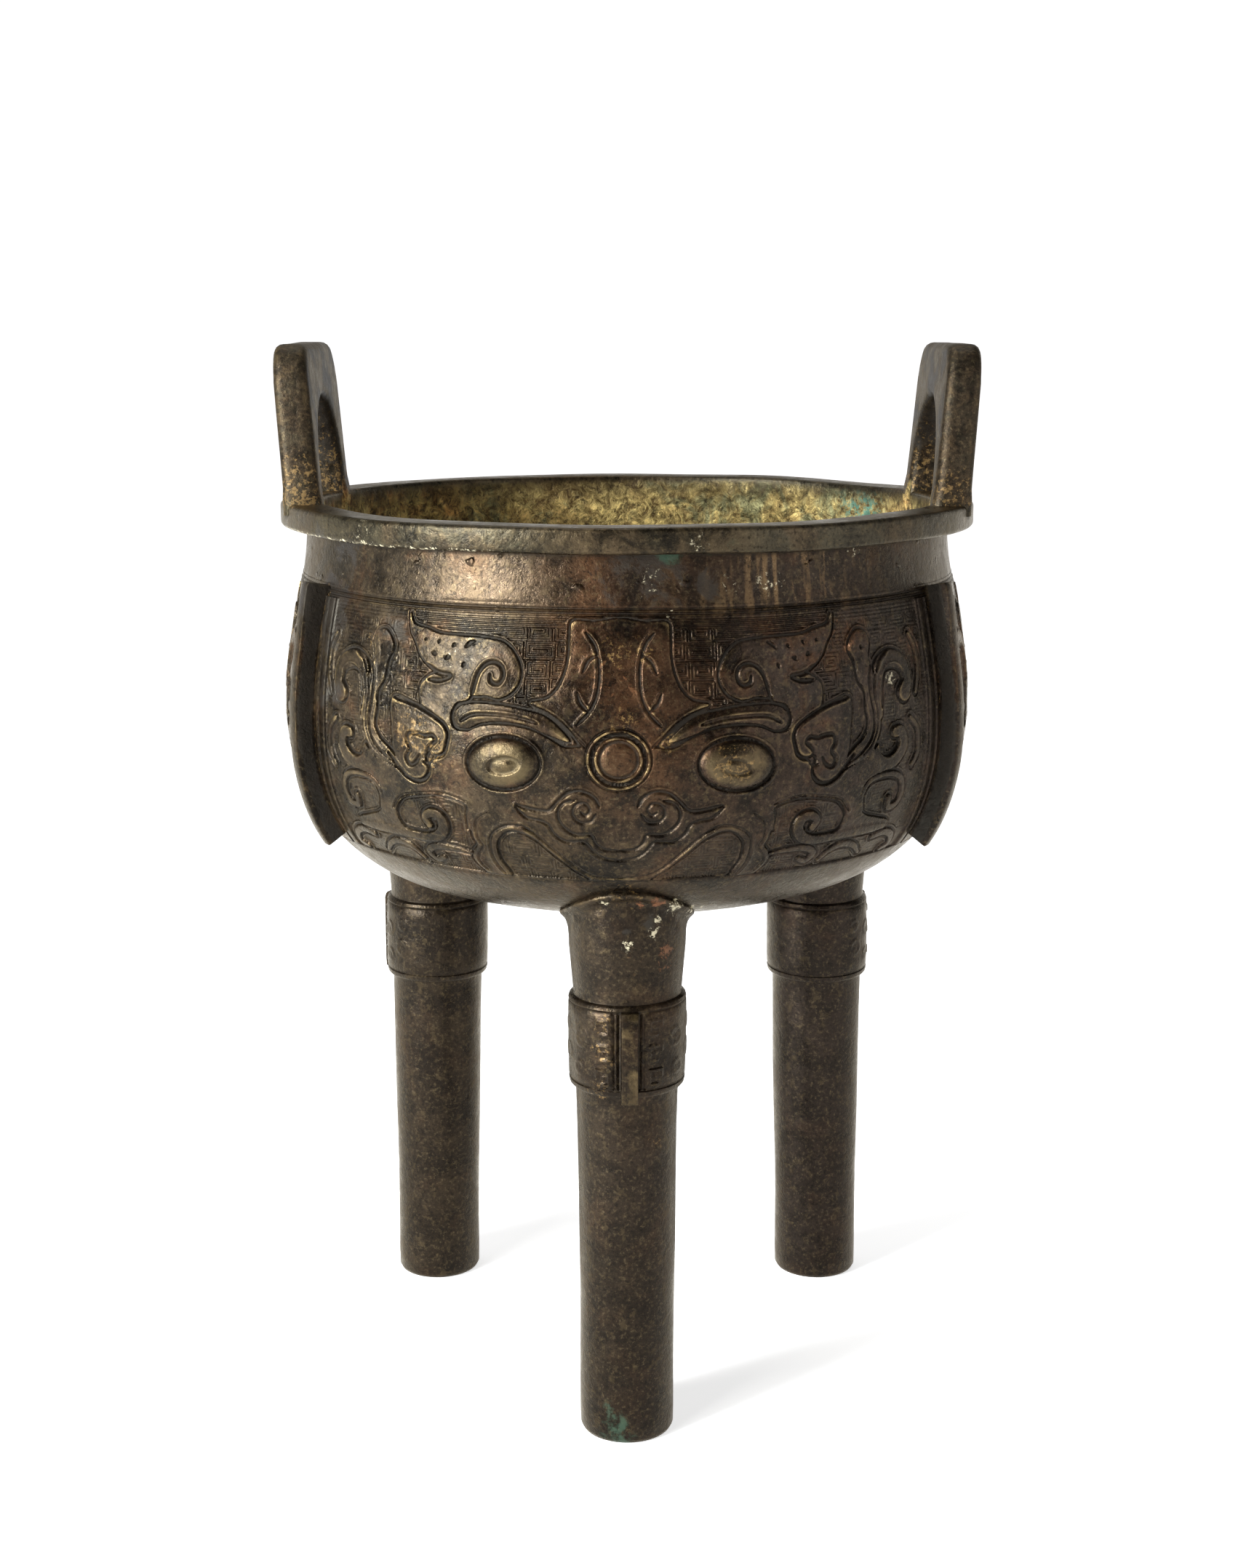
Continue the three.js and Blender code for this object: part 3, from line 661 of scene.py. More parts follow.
def sample(table, name, x, s):
    """A value of the mask's grid at places on the wall, between its points."""
    g = table[name]
    fx = np.clip((x - table["x"][0]) / (table["x"][1] - table["x"][0]), 0, g.shape[1] - 1.001)
    fs = np.clip((s - table["s"][0]) / PITCH, 0, g.shape[0] - 1.001)
    j, i = fx.astype(int), fs.astype(int)
    u, v = fx - j, fs - i
    return (g[i, j] * (1 - u) * (1 - v) + g[i, j + 1] * u * (1 - v)
            + g[i + 1, j] * (1 - u) * v + g[i + 1, j + 1] * u * v)


# ---------------------------------------------------------------- the casting

def bowl_outside():
    """The rim and the outer wall, solid inside, with a seat for the bands of relief."""
    e = RIM_EDGE
    low = RIM_TOP - RIM_HEIGHT
    arc = np.linspace(0, math.pi / 2, 6)
    profile = [(0, RIM_TOP), (60, RIM_TOP)] + [(r, RIM_TOP) for r in np.linspace(104.2, RIM_R - e, 10)]
    profile += [(RIM_R - e + e * math.sin(a), RIM_TOP - e + e * math.cos(a)) for a in arc[1:]]
    profile += [(RIM_R, z) for z in np.linspace(RIM_TOP - 3, low + 2.4, 4)]
    profile += [(RIM_R - e + e * math.cos(a), low + e - e * math.sin(a)) for a in arc]
    profile += [(r, low) for r in (111, 109)]
    stations = np.concatenate([np.linspace(0.4, 15.2, 12), [15.6, 16.4], np.linspace(19, 99, 48),
                               [101, 101.8, 102.2], np.linspace(104, wall_s[-1] - 1, 44)])
    for s in stations:
        r, z, nr, nz = wall_at(s)
        sunk = BAND_SEAT * smoothstep(15.2, 16.2, s) * smoothstep(102.1, 101.2, s)
        profile.append((r - sunk * nr, z - sunk * nz))
    profile.append((0, RIM_TOP - BOWL_DEPTH))
    return lathe("vessel_casting", profile, 400)


def cavity():
    """The hollow of the bowl, rough with crust."""
    e = MOUTH_EDGE
    arc = np.linspace(0, math.pi / 2, 5)
    above = RIM_TOP + 6
    profile = [(0, above), (60, above), (MOUTH_R + e, above)]
    profile += [(MOUTH_R + e - e * math.sin(a), RIM_TOP - e + e * math.cos(a)) for a in arc]
    end = wall_s[-1]
    for s in np.concatenate([np.linspace(4, end - 18, 84), np.linspace(end - 15, end - 1, 8)]):
        r, z, nr, nz = wall_at(s)
        profile.append((max(r - WALL * nr, 2), z - WALL * nz))
    profile.append((0, RIM_TOP - BOWL_DEPTH + WALL))

    def crusted(p):
        below = smoothstep(RIM_TOP - 6, RIM_TOP - 14, p[:, 2])
        lump = 0.3 * waves(p, 9, 21) + 0.22 * waves(p, 4.6, 22) + 0.4 * waves(p, 26, 23)
        flat = np.hypot(p[:, 0], p[:, 1])[:, None]
        inward = -p * [1, 1, 0] / np.maximum(flat, 1)
        return p + inward * (below * lump)[:, None]

    return lathe("cavity", profile, 300, crusted)


# Radius of a leg at heights from the floor.
LEG_PROFILE = [
    (0, 13.6), (0.4, 14.4), (1.6, 15.0), (6, 15.1), (24, 15.05), (40, 15.04), (65, 15.45), (90, 15.75),
    (102, 15.9), (112, 16.1), (116.4, 16.2), (117.1, 16.5), (117.3, 17.6), (117.9, 18.1), (119.2, 18.3),
    (124, 18.4), (132, 18.45), (141, 18.4), (145.2, 18.3), (146.1, 18.0), (146.5, 17.4), (146.7, 16.9),
    (147.4, 16.8), (150, 17.0), (156, 17.5), (162, 18.0), (170, 18.3), (190, 18.4),
]


def leg():
    """One column leg at the front, spreading where it meets the bowl."""
    heights, radii = np.array(LEG_PROFILE).T
    # Rings stand closer together over the collar and where the leg meets the bowl.
    z_all = np.unique(np.concatenate([heights, np.linspace(0, LEG_END_Z, 60), np.linspace(116, 148, 64),
                                      np.linspace(170, 188, 30)]))
    sides = 144
    a = np.arange(sides) * 2 * math.pi / sides
    low_wall = wall_line[300:]
    rings = []

    def ring(r, at, z):
        return np.stack([r * np.cos(a), -at + r * np.sin(a), np.full(sides, z)], -1)

    for z in z_all:
        at = LEG_FOOT_AT + (LEG_TOP_AT - LEG_FOOT_AT) * z / LEG_TOP_Z
        r = np.interp(z, heights, radii) + collar_relief(a, z)
        from_axis = np.hypot(r * np.cos(a), -at + r * np.sin(a))
        under = RIM_TOP - np.interp(-from_axis, -low_wall[:, 0], low_wall[:, 1]) - z
        rough = 0.16 * waves(ring(r, at, z), 6, 31) * smoothstep(14, 3, under)
        bead = 0.5 * smoothstep(1.8, 0.2, np.abs(under - 0.6))
        r = r + (2.0 * (1 - smoothstep(0, 4.0, under)) + bead) * smoothstep(-2.5, -0.2, under)
        rings.append(ring(r + rough, at, z))
    return loft("leg", rings)


def collar_relief(a, z):
    """Low lines and curls of the small mask on a leg's collar, as added radius."""
    round_it = (a - 1.5 * math.pi - LEG_FLANGE_TURN + math.pi) % (2 * math.pi) - math.pi
    x = np.abs(round_it) * COLLAR_R
    on = smoothstep(117.5, 118.6, z) * smoothstep(146, 145.2, z)
    lines = -0.4 * (smoothstep(0.5, 0.1, abs(z - 144.6)) + smoothstep(0.5, 0.15, abs(z - 119.8)))
    # A strip beside the flange between cut lines, and a column of square hooks beyond it.
    strip = -0.5 * (smoothstep(0.55, 0.15, np.abs(x - 3.4)) + smoothstep(0.5, 0.15, np.abs(x - 5.0)))
    strip = strip * (120 < z < 144)
    hooks = np.zeros_like(a)
    for cz in (139.6, 131.4, 123.6):
        square = np.maximum(np.abs(x - 8.2) / 1.0, abs(z - cz) / 1.15)
        opened = smoothstep(0.6, 0.9, x - 8.2) * (z < cz)
        hooks += 0.5 * smoothstep(0.7, 0.2, np.abs(square - 2.0)) * (1 - opened)
        hooks += 0.35 * smoothstep(0.8, 0.3, square)
    curl = np.zeros_like(a)
    for cx, cz, r in ((16.4, 134.4, 3.4), (17.4, 124.8, 2.6), (25.6, 137.2, 2.4), (25, 128.6, 3.2)):
        far = np.hypot(x - cx, z - cz)
        spiral = far - r * (0.75 + 0.25 * np.sin(np.arctan2(z - cz, x - cx)))
        curl += 0.24 * smoothstep(1.0, 0.2, np.abs(spiral)) + 0.2 * smoothstep(1.2, 0.3, far)
    return on * (lines + strip + (hooks + curl) * (120.4 < z < 143.4))


def leg_flange():
    """The small upright flange on a collar's outward side, with softened edges."""
    rings = []
    e, half = 0.6, LEG_FLANGE_HALF
    c, d = math.cos(LEG_FLANGE_TURN), math.sin(LEG_FLANGE_TURN)
    for z in (LEG_FLANGE_LOW, 116.6, 119, 123, 131, 138, 143, 144.6, LEG_FLANGE_HIGH):
        reach = LEG_FLANGE_REACH * np.interp(z, [LEG_FLANGE_LOW, 116.9, 144, LEG_FLANGE_HIGH],
                                             [0.98, 1, 1, 0.95])
        plan = [(-half, 12), (half, 12), (half, reach - e), (half - 0.15, reach - 0.15), (half - e, reach),
                (e - half, reach), (0.15 - half, reach - 0.15), (-half, reach - e)]
        rings.append([(x * c + y * d, -81 - y * c + x * d, z) for x, y in plan])
    return loft("leg_flange", rings)


def flange():
    """A plate flange square to the wall, with softened edges."""
    rings = []
    half, e = FLANGE_HALF, 0.6
    long = FLANGE_TO - FLANGE_FROM
    for d in np.concatenate([[0, 0.35, 1.0], np.linspace(3, long - 1.2, 40), [long - 0.4]]):
        s = FLANGE_FROM + d
        h = FLANGE_HEIGHT + 0.7 * smoothstep(20, 2, d) - 0.5 * smoothstep(0.9, 0, d)
        side = [(half + 0.15, -1.4), (half + 0.1, 0.9), (half, 1.8), (half, 3.4), (half - 0.02, 5),
                (half - 0.05, h - e), (half - 0.2, h - 0.2), (half - e, h)]
        section = side + [(0, h + 0.06)] + [(-x, y) for x, y in side[::-1]]
        rings.append([on_wall(np.array(x), np.array(s), h1) for x, h1 in section])
    return loft("flange", np.array(rings))


def handle():
    """A loop handle on the rim at +X: an inverted U with rounded edges, leaning outwards."""
    rise = HANDLE_HEIGHT - HANDLE_BASE_Z
    corner = HANDLE_CORNER
    outer = [(np.interp(z, [0, rise], [HANDLE_HALF_BASE, HANDLE_HALF_TOP]), z)
             for z in np.linspace(0, rise - corner, 12)]
    for t in np.linspace(0.12, 1, 8):
        a = t * math.pi / 2
        outer.append((HANDLE_HALF_TOP - corner + corner * math.cos(a), rise - corner + corner * math.sin(a)))
    outer += [(y, rise) for y in np.linspace(HANDLE_HALF_TOP - corner, 0, 8)[1:]]
    outline = outer + [(-y, z) for y, z in outer[-2::-1]]
    spring = HANDLE_GAP_SPRING - HANDLE_BASE_Z
    n = len(outline)
    half = HANDLE_THICK / 2
    soft = HANDLE_EDGE
    turn = np.linspace(0, math.pi / 2, 5)
    rings = []
    for i, (y, z) in enumerate(outline):
        a = math.pi * (1.06 * (i / (n - 1) - 0.5) + 0.5)
        if i in (0, n - 1):
            y2, z2 = HANDLE_GAP_HALF * (1 if i == 0 else -1), 0.0
        else:
            y2 = HANDLE_GAP_HALF * math.cos(a)
            z2 = max(spring + (HANDLE_GAP_CROWN - HANDLE_GAP_SPRING) * math.sin(a), 0.6)
        long = math.hypot(y2 - y, z2 - z)
        k = soft / long
        section = [(k - k * math.cos(t), -half + soft - soft * math.sin(t)) for t in turn]
        section += [(k + (1 - 2 * k) * t, -half) for t in (0.2, 0.4, 0.6, 0.8)]
        section += [(1 - k + k * math.sin(t), -half + soft - soft * math.cos(t)) for t in turn]
        section += [(1, (soft - half) * t) for t in (0.5, 0, -0.5)]
        section += [(1 - t, -x) for t, x in section[:-3]] + [(0, (half - soft) * t) for t in (0.5, 0, -0.5)]
        ring = []
        for t, x in section:
            height = z + (z2 - z) * t
            thin = 1 - 0.08 * height / rise + 0.1 * smoothstep(7.5, 3.2, height)
            ring.append((HANDLE_MID_X + HANDLE_LEAN * height + x * thin, y + (y2 - y) * t,
                         HANDLE_BASE_Z + height))
        rings.append(ring)
    return loft("handle", rings)


def spin(ob, angle):
    set_positions(ob, turned(positions(ob), angle))
    return ob


def vessel_casting():
    casting = bowl_outside()
    turns = (0, THIRD, -THIRD)
    combine(casting, [spin(leg(), t) for t in turns], "UNION")
    combine(casting, [spin(leg_flange(), t) for t in turns], "UNION")
    combine(casting, [spin(flange(), t + math.pi) for t in turns], "UNION")
    combine(casting, [cavity()], "DIFFERENCE")
    combine(casting, [handle(), spin(handle(), math.pi)], "UNION")
    set_attribute(casting, "crest", edge_crest(casting, positions(casting)) * 1.6)
    thin_to(casting, CASTING_TRIANGLES)
    return casting


# ---------------------------------------------------------------- bronze

def node(tree, kind, *ins, **settings):
    """A shader node with its settings; ins are (socket, value or output)."""
    n = tree.nodes.new(kind)
    for key, value in settings.items():
        setattr(n, key, value)
    for socket, value in ins:
        if isinstance(value, bpy.types.NodeSocket):
            tree.links.new(value, n.inputs[socket])
        else:
            n.inputs[socket].default_value = value
    return n


def map_range(tree, value, low, high, bottom, top, kind="LINEAR"):
    return node(tree, "ShaderNodeMapRange", ("Value", value), ("From Min", low), ("From Max", high),
                ("To Min", bottom), ("To Max", top), interpolation_type=kind).outputs["Result"]


class Shade:
    """Short ways to write the bronze's node tree."""

    def __init__(self, tree):
        self.tree = tree
        self.place = node(tree, "ShaderNodeTexCoord").outputs["Object"]
        self.xyz = node(tree, "ShaderNodeSeparateXYZ", (0, self.place)).outputs

    def attribute(self, name):
        return node(self.tree, "ShaderNodeAttribute", attribute_name=name).outputs["Fac"]

    def math(self, operation, a, b=0.5, clamp=False):
        return node(self.tree, "ShaderNodeMath", (0, a), (1, b), operation=operation,
                    use_clamp=clamp).outputs[0]

    def times(self, first, *others):
        for other in others:
            first = self.math("MULTIPLY", first, other)
        return first

    def most(self, a, b):
        return self.math("MAXIMUM", a, b)

    def noise(self, size, detail=4.0, rough=0.55, distort=0.0, shift=0.0):
        """Noise with features about size metres across, 0 to 1."""
        at = self.place
        if shift:
            at = node(self.tree, "ShaderNodeVectorMath", (0, at), (1, (shift, shift * 1.7, -shift)),
                      operation="ADD").outputs[0]
        return node(self.tree, "ShaderNodeTexNoise", ("Vector", at), ("Scale", 1 / size), ("Detail", detail),
                    ("Roughness", rough), ("Distortion", distort)).outputs["Fac"]

    def ramp(self, value, low, high, bottom=0.0, top=1.0):
        return map_range(self.tree, value, low, high, bottom, top, "SMOOTHSTEP")

    def mix(self, share, a, b):
        return node(self.tree, "ShaderNodeMix", (0, share), (6, a), (7, b), data_type="RGBA").outputs[2]

    def near(self, point, reach):
        """1 at a point about the bowl's axis in millimetres, falling to 0 at reach metres from it."""
        far = node(self.tree, "ShaderNodeVectorMath", (0, self.place), (1, tuple(row_frame([point])[0])),
                   operation="DISTANCE").outputs["Value"]
        return self.ramp(far, reach, 0.0)


def linear(r, g, b):
    """A colour from sRGB 0-255 values."""
    def one(v):
        v /= 255
        return v / 12.92 if v <= 0.04045 else ((v + 0.055) / 1.055) ** 2.4
    return (one(r), one(g), one(b), 1.0)


def bronze():
    material = bpy.data.materials.new("patinated_bronze")
    material.use_nodes = True
    tree = material.node_tree
    tree.nodes.clear()
    s = Shade(tree)
    crest = s.attribute("crest")
    inside = s.attribute("inside")
    proud = s.attribute("proud")
    x = s.xyz["X"]
    z = s.xyz["Z"]

    broad = s.noise(0.06, 3, 0.5)
    mottle = s.ramp(s.noise(0.013, 6, 0.68, 0.4, shift=1.3), 0.32, 0.68)
    rusty = s.ramp(s.noise(0.022, 6, 0.62, 0.3, shift=6.2), 0.5, 0.64)
    grit = s.ramp(s.noise(0.0034, 5, 0.75, 0.3, shift=2.1), 0.34, 0.66)
    grain = s.ramp(s.noise(0.0012, 3, 0.7, shift=3.3), 0.25, 0.75)
    # Dark olive brown, with red brown in the middle and grey brown at the right.
    olive = s.mix(mottle, linear(13, 10, 8), linear(54, 44, 32))
    warm = s.mix(mottle, linear(19, 12, 8), linear(74, 47, 27))
    grey = s.mix(mottle, linear(20, 16, 14), linear(48, 39, 34))
    across = s.math("ADD", x, s.times(s.math("SUBTRACT", broad, 0.5), 0.09))
    colour = s.mix(s.ramp(across, -0.02, 0.05), olive, grey)
    middle = s.times(s.ramp(s.math("ABSOLUTE", across), 0.05, 0.0), s.ramp(z, 0.19, 0.24))
    reddish = s.most(s.times(middle, 0.8), s.times(rusty, s.ramp(z, 0.17, 0.26, 0.25, 0.65)))
    colour = s.mix(reddish, colour, warm)
    blotches = s.ramp(s.noise(0.03, 6, 0.65, 0.5, shift=14.3), 0.48, 0.36, 0, 0.6)
    colour = s.mix(blotches, colour, linear(13, 10, 8))
    # The rim is greener, the handles browner and the legs darker.
    lip = s.ramp(z, 0.2855, 0.287)
    colour = s.mix(s.times(lip, 0.5), colour, s.mix(mottle, linear(28, 26, 19), linear(70, 67, 51)))
    handles = s.ramp(z, 0.293, 0.297)
    colour = s.mix(s.times(handles, 0.6), colour, s.mix(grit, linear(13, 9, 6), linear(56, 42, 30)))
    colour = s.mix(s.ramp(z, 0.187, 0.17, 0, 0.5), colour, linear(28, 21, 16))
    # The neck is dark at the right, with upright streaks, and has a painted highlight at the left.
    neck = s.times(s.ramp(z, 0.266, 0.270), s.ramp(z, 0.2865, 0.2855))
    tall = node(tree, "ShaderNodeVectorMath", (0, s.place), (1, (1, 1, 0.09)),
                operation="MULTIPLY").outputs[0]
    streaks = node(tree, "ShaderNodeTexNoise", ("Vector", tall), ("Scale", 330), ("Detail", 2)).outputs["Fac"]
    streaks = s.times(s.ramp(streaks, 0.5, 0.64), neck, s.near((46, -98, 278), 0.05))
    colour = s.mix(s.times(neck, s.ramp(x, -0.01, 0.03, 0, 0.5)), colour, linear(34, 25, 18))
    colour = s.mix(s.times(streaks, 0.6), colour, linear(104, 82, 56))
    # Painted highlight: a lighter grey-tan patch on the neck's left, where the key light falls.
    neck_highlight = s.times(neck, s.near((-40, -101, 277), 0.038))
    colour = s.mix(s.times(neck_highlight, 0.2), colour, linear(120, 98, 76))
    # Dark and light specks.
    colour = s.mix(s.times(s.ramp(grain, 0.45, 0.0), 0.75), colour, linear(11, 8, 6))
    colour = s.mix(s.times(s.ramp(grain, 0.62, 1.0), 0.22), colour, linear(112, 98, 72))
    colour = s.mix(s.times(s.ramp(grit, 0.75, 1.0), 0.2), colour, linear(92, 78, 54))
    # Near-black in the recesses, dark grime with painted shade; golden on raised edges, wear with a painted
    # highlight strongest at the upper left; and bright on the eyes.
    dark = s.ramp(crest, -0.05, -0.42)
    colour = s.mix(s.times(dark, 0.8), colour, linear(14, 10, 8))
    colour = s.mix(s.times(proud, s.ramp(mottle, 0.2, 0.8, 0.1, 0.55)), colour, linear(92, 80, 56))
    # The golden edges are wear with a painted highlight: strongest at the left and up high, where the light
    # falls, weaker to the right and low down.
    lit_zone = s.times(s.ramp(across, 0.07, -0.02, 0.4, 1), s.ramp(z, 0.2, 0.24, 0.3, 1))
    wear_and_edge_highlight = s.times(s.ramp(crest, 0.14, 0.55), s.ramp(s.noise(0.007, 5, 0.65, shift=4.4), 0.4, 0.64))
    colour = s.mix(s.times(wear_and_edge_highlight, lit_zone), colour, linear(160, 136, 94))
    # Dirt, broken up by grit. The darkest kind also holds painted shade on the flanges' sides and in the
    # handles' openings, and the palest a painted highlight along the rim's lower edge.
    crumbly = s.ramp(s.noise(0.0015, 4, 0.7, shift=5.7), 0.38, 0.68)
    covered = 0.0
    for name, breaks, share, shade in (
        ("soot_and_shade", mottle, 0.85, linear(15, 11, 9)),
        ("rust", grit, 0.65, linear(112, 68, 40)),
        ("green", mottle, 0.75, linear(36, 62, 48)),
        ("gold", crumbly, 0.5, linear(132, 104, 62)),
        ("pale", crumbly, 0.85, linear(190, 180, 152)),
    ):
        cover = s.math("ADD", s.attribute(name), s.times(breaks, 0.6))
        cover = s.ramp(cover, 0.75, 1.05, 0, share)
        covered = s.most(cover, covered)
        colour = s.mix(cover, colour, shade)
    # Ochre crust inside the bowl, with green and dark spots.
    crumbs = s.ramp(s.noise(0.0042, 5, 0.8, 0.8, shift=7.1), 0.32, 0.68)
    crust = s.mix(crumbs, linear(74, 50, 20), linear(255, 226, 146))
    areas = s.ramp(broad, 0.42, 0.58)
    crust = s.mix(s.times(rusty, s.ramp(areas, 0, 1, 0.75, 0.15)), crust,
                  s.mix(crumbs, linear(74, 38, 14), linear(236, 156, 84)))
    greens = s.ramp(s.noise(0.018, 6, 0.7, 0.6, shift=8.3), 0.5, 0.64)
    greens = s.times(greens, s.ramp(areas, 0, 1, 0.3, 0.85))
    crust = s.mix(greens, crust, s.mix(crumbs, linear(52, 56, 32), linear(200, 200, 150)))
    crust = s.mix(s.ramp(mottle, 0.35, 0.1, 0, 0.45), crust, linear(56, 36, 16))
    crust = s.mix(s.ramp(z, 0.225, 0.19, 0, 0.4), crust, linear(70, 54, 30))
    crust = s.mix(s.ramp(grit, 0.3, 0.0, 0, 0.7), crust, linear(24, 16, 8))
    teal = s.times(s.near((84, 56, 288), 0.02), s.ramp(grit, 0.3, 0.8))
    crust = s.mix(teal, crust, linear(110, 176, 158))
    colour = s.mix(inside, colour, crust)

    # Bumps, in metres.
    blisters = s.times(s.ramp(s.noise(0.006, 2, 0.5, shift=12.1), 0.66, 0.76), neck)
    height = s.math("ADD", s.times(grit, 0.00006), s.times(mottle, 0.0001))
    height = s.math("ADD", height, s.times(blisters, 0.0005))
    height = s.math("ADD", height, s.times(crumbs, inside, 0.0012))
    height = s.math("ADD", height, s.times(grain, 0.000035))
    bump = node(tree, "ShaderNodeBump", ("Height", height), ("Strength", 1.0), ("Distance", 1.0)).outputs[0]
    dull = s.most(s.times(s.attribute("soot_and_shade"), 0.5), s.most(inside, dark))
    dull = s.times(s.most(dull, s.times(handles, 0.45)), 0.4)
    rough = s.math("ADD", s.math("ADD", s.ramp(mottle, 0, 1, 0.2, 0.32), s.times(grit, 0.1)), dull, True)
    crusty = s.most(inside, s.most(covered, s.times(dark, 0.6)))
    metal = s.ramp(crusty, 0, 1, 0.7, 0.0)
    shader = node(tree, "ShaderNodeBsdfPrincipled", ("Base Color", colour), ("Roughness", rough),
                  ("Metallic", metal), ("Normal", bump), ("Specular IOR Level", 0.34),
                  ("Specular Tint", (1, 0.92, 0.78, 1)))
    node(tree, "ShaderNodeOutputMaterial", ("Surface", shader.outputs[0]))
    return material


def dirt_in_places(p):
    """How much of each kind of deposit in DEPOSITS lies at each point."""
    dirt_and_painted_light = {}
    for name, places in DEPOSITS.items():
        dirt_and_painted_light[name] = np.zeros(len(p))
        for place, reach, fill in places:
            far = np.linalg.norm(p - place, axis=1)
            dirt_and_painted_light[name] = np.maximum(dirt_and_painted_light[name], fill * smoothstep(reach, 0, far))
    return dirt_and_painted_light


def add_band_dirt(dirt_and_painted_light, third):
    """Gold-coloured grime against the flanges."""
    edge = THIRD * WALL_R / 2 - np.abs(third) * WALL_R
    dirt_and_painted_light["gold"] = np.maximum(dirt_and_painted_light["gold"], 0.5 * smoothstep(5, 2.4, edge))


def add_casting_dirt_and_painted_light(dirt_and_painted_light, p, radius, wall_radius, azimuth, on_handle):
    """Dirt on the handles; painted shade in their openings, on their inner faces and on the flanges' sides; a
    painted highlight along the rim's lower edge.
    """
    x, y, z = p[:, 0], np.abs(p[:, 1]), p[:, 2]
    # Gold dirt in the handles' openings and at their feet. Painted shade, with dirt, darkens the openings,
    # most up under the arch, and the handles' inner faces.
    over = np.maximum(z - HANDLE_GAP_SPRING, 0) / (HANDLE_GAP_CROWN - HANDLE_GAP_SPRING)
    in_gap = on_handle * smoothstep(1.06, 1.03, np.hypot(y / HANDLE_GAP_HALF, over))
    foot = on_handle * smoothstep(30, 0, z - RIM_TOP) * np.where(x < 0, 0.6, 0.52)
    low = smoothstep(RIM_TOP + 26, RIM_TOP + 4, z)
    dirt_and_painted_light["gold"] = np.maximum(dirt_and_painted_light["gold"], np.maximum(in_gap * (0.3 + 0.22 * low), foot))
    inner_face = HANDLE_MID_X + HANDLE_LEAN * (z - HANDLE_BASE_Z) - HANDLE_THICK / 2
    inner = on_handle * (np.abs(x) < inner_face + 1)
    dirt_and_painted_light["soot_and_shade"] = np.maximum(dirt_and_painted_light["soot_and_shade"], np.maximum(in_gap * (1 - 0.5 * low) * 0.95, inner * 0.5))
    # A painted highlight: a bright line along the rim's lower edge, at the left.
    rim_edge_highlight = smoothstep(0.9, 0.3, np.abs(z - RIM_TOP + RIM_HEIGHT - 0.5)) * (radius > RIM_R - 2.4)
    front_left = smoothstep(-20, -50, x) * (p[:, 1] < 0)
    dirt_and_painted_light["pale"] = np.maximum(dirt_and_painted_light["pale"], 0.55 * rim_edge_highlight * front_left)
    # Painted shade: the sides of the flanges darkened.
    aside = np.abs((azimuth + THIRD) % THIRD - THIRD / 2) * WALL_R
    stands = radius - wall_radius
    side = smoothstep(1.7, 2.1, aside) * smoothstep(3.2, 2.8, aside) * smoothstep(1.0, 2.0, stands)
    dirt_and_painted_light["soot_and_shade"] = np.maximum(dirt_and_painted_light["soot_and_shade"], side * smoothstep(7, 6.2, stands))


def finish_piece(ob, material, table=None):
    """Warps a piece as the mould did, keeps what its bronze needs to know, and gives it its place."""
    p = positions(ob)
    radius = np.hypot(p[:, 0], p[:, 1])
    depth = RIM_TOP - p[:, 2]
    wall_radius = np.interp(depth, wall_line[:, 1], wall_line[:, 0])
    azimuth = np.arctan2(p[:, 0], -p[:, 1])
    proud = np.zeros(len(p))
    inside = np.zeros(len(p))
    dirt_and_painted_light = dirt_in_places(p)
    if table:
        third = (azimuth + THIRD / 2) % THIRD - THIRD / 2
        s = np.interp(depth, wall_line[:, 1], wall_s)
        set_attribute(ob, "crest", sample(table, "crest", third * WALL_R, s))
        proud = smoothstep(1.6, 2.4, sample(table, "height", third * WALL_R, s))
        add_band_dirt(dirt_and_painted_light, third)
    else:
        in_bowl = (p[:, 2] > 168) * (p[:, 2] < RIM_TOP - 1.5)
        on_handle = (np.abs(p[:, 1]) < 42) & (p[:, 2] > RIM_TOP - 0.5)
        inside = np.where(on_handle, 0, smoothstep(-2.2, -3.2, radius - wall_radius) * in_bowl)
        add_casting_dirt_and_painted_light(dirt_and_painted_light, p, radius, wall_radius, azimuth, on_handle)
    set_positions(ob, cast_unevenness(p))
    for name, values in {"inside": inside, "proud": proud, **dirt_and_painted_light}.items():
        set_attribute(ob, name, values)
    ob.data.materials.clear()
    ob.data.materials.append(material)
    ob.data.shade_smooth()
    ob.data.set_sharp_from_angle(angle=math.radians(38))
    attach(ob, "root")
    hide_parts("vessel")


patina = bronze()
casting = vessel_casting()
band_front, relief = mask_band("mask_band_front")
bands = [band_front]
for name, turn in (("mask_band_right", THIRD), ("mask_band_left", -THIRD)):
    bands.append(spin(add_object(name, band_front.data.copy()), turn))
finish_piece(casting, patina)
for band in bands:
    finish_piece(band, patina, relief)


# ---------------------------------------------------------------- floor, light, camera

FLOOR_REACH = 30.0
CAMERA_AT = (0, -0.73926, 0.35105)
CAMERA_PITCH = 0.2079
CAMERA_LENS = 50.03
CAMERA_FILM = 36


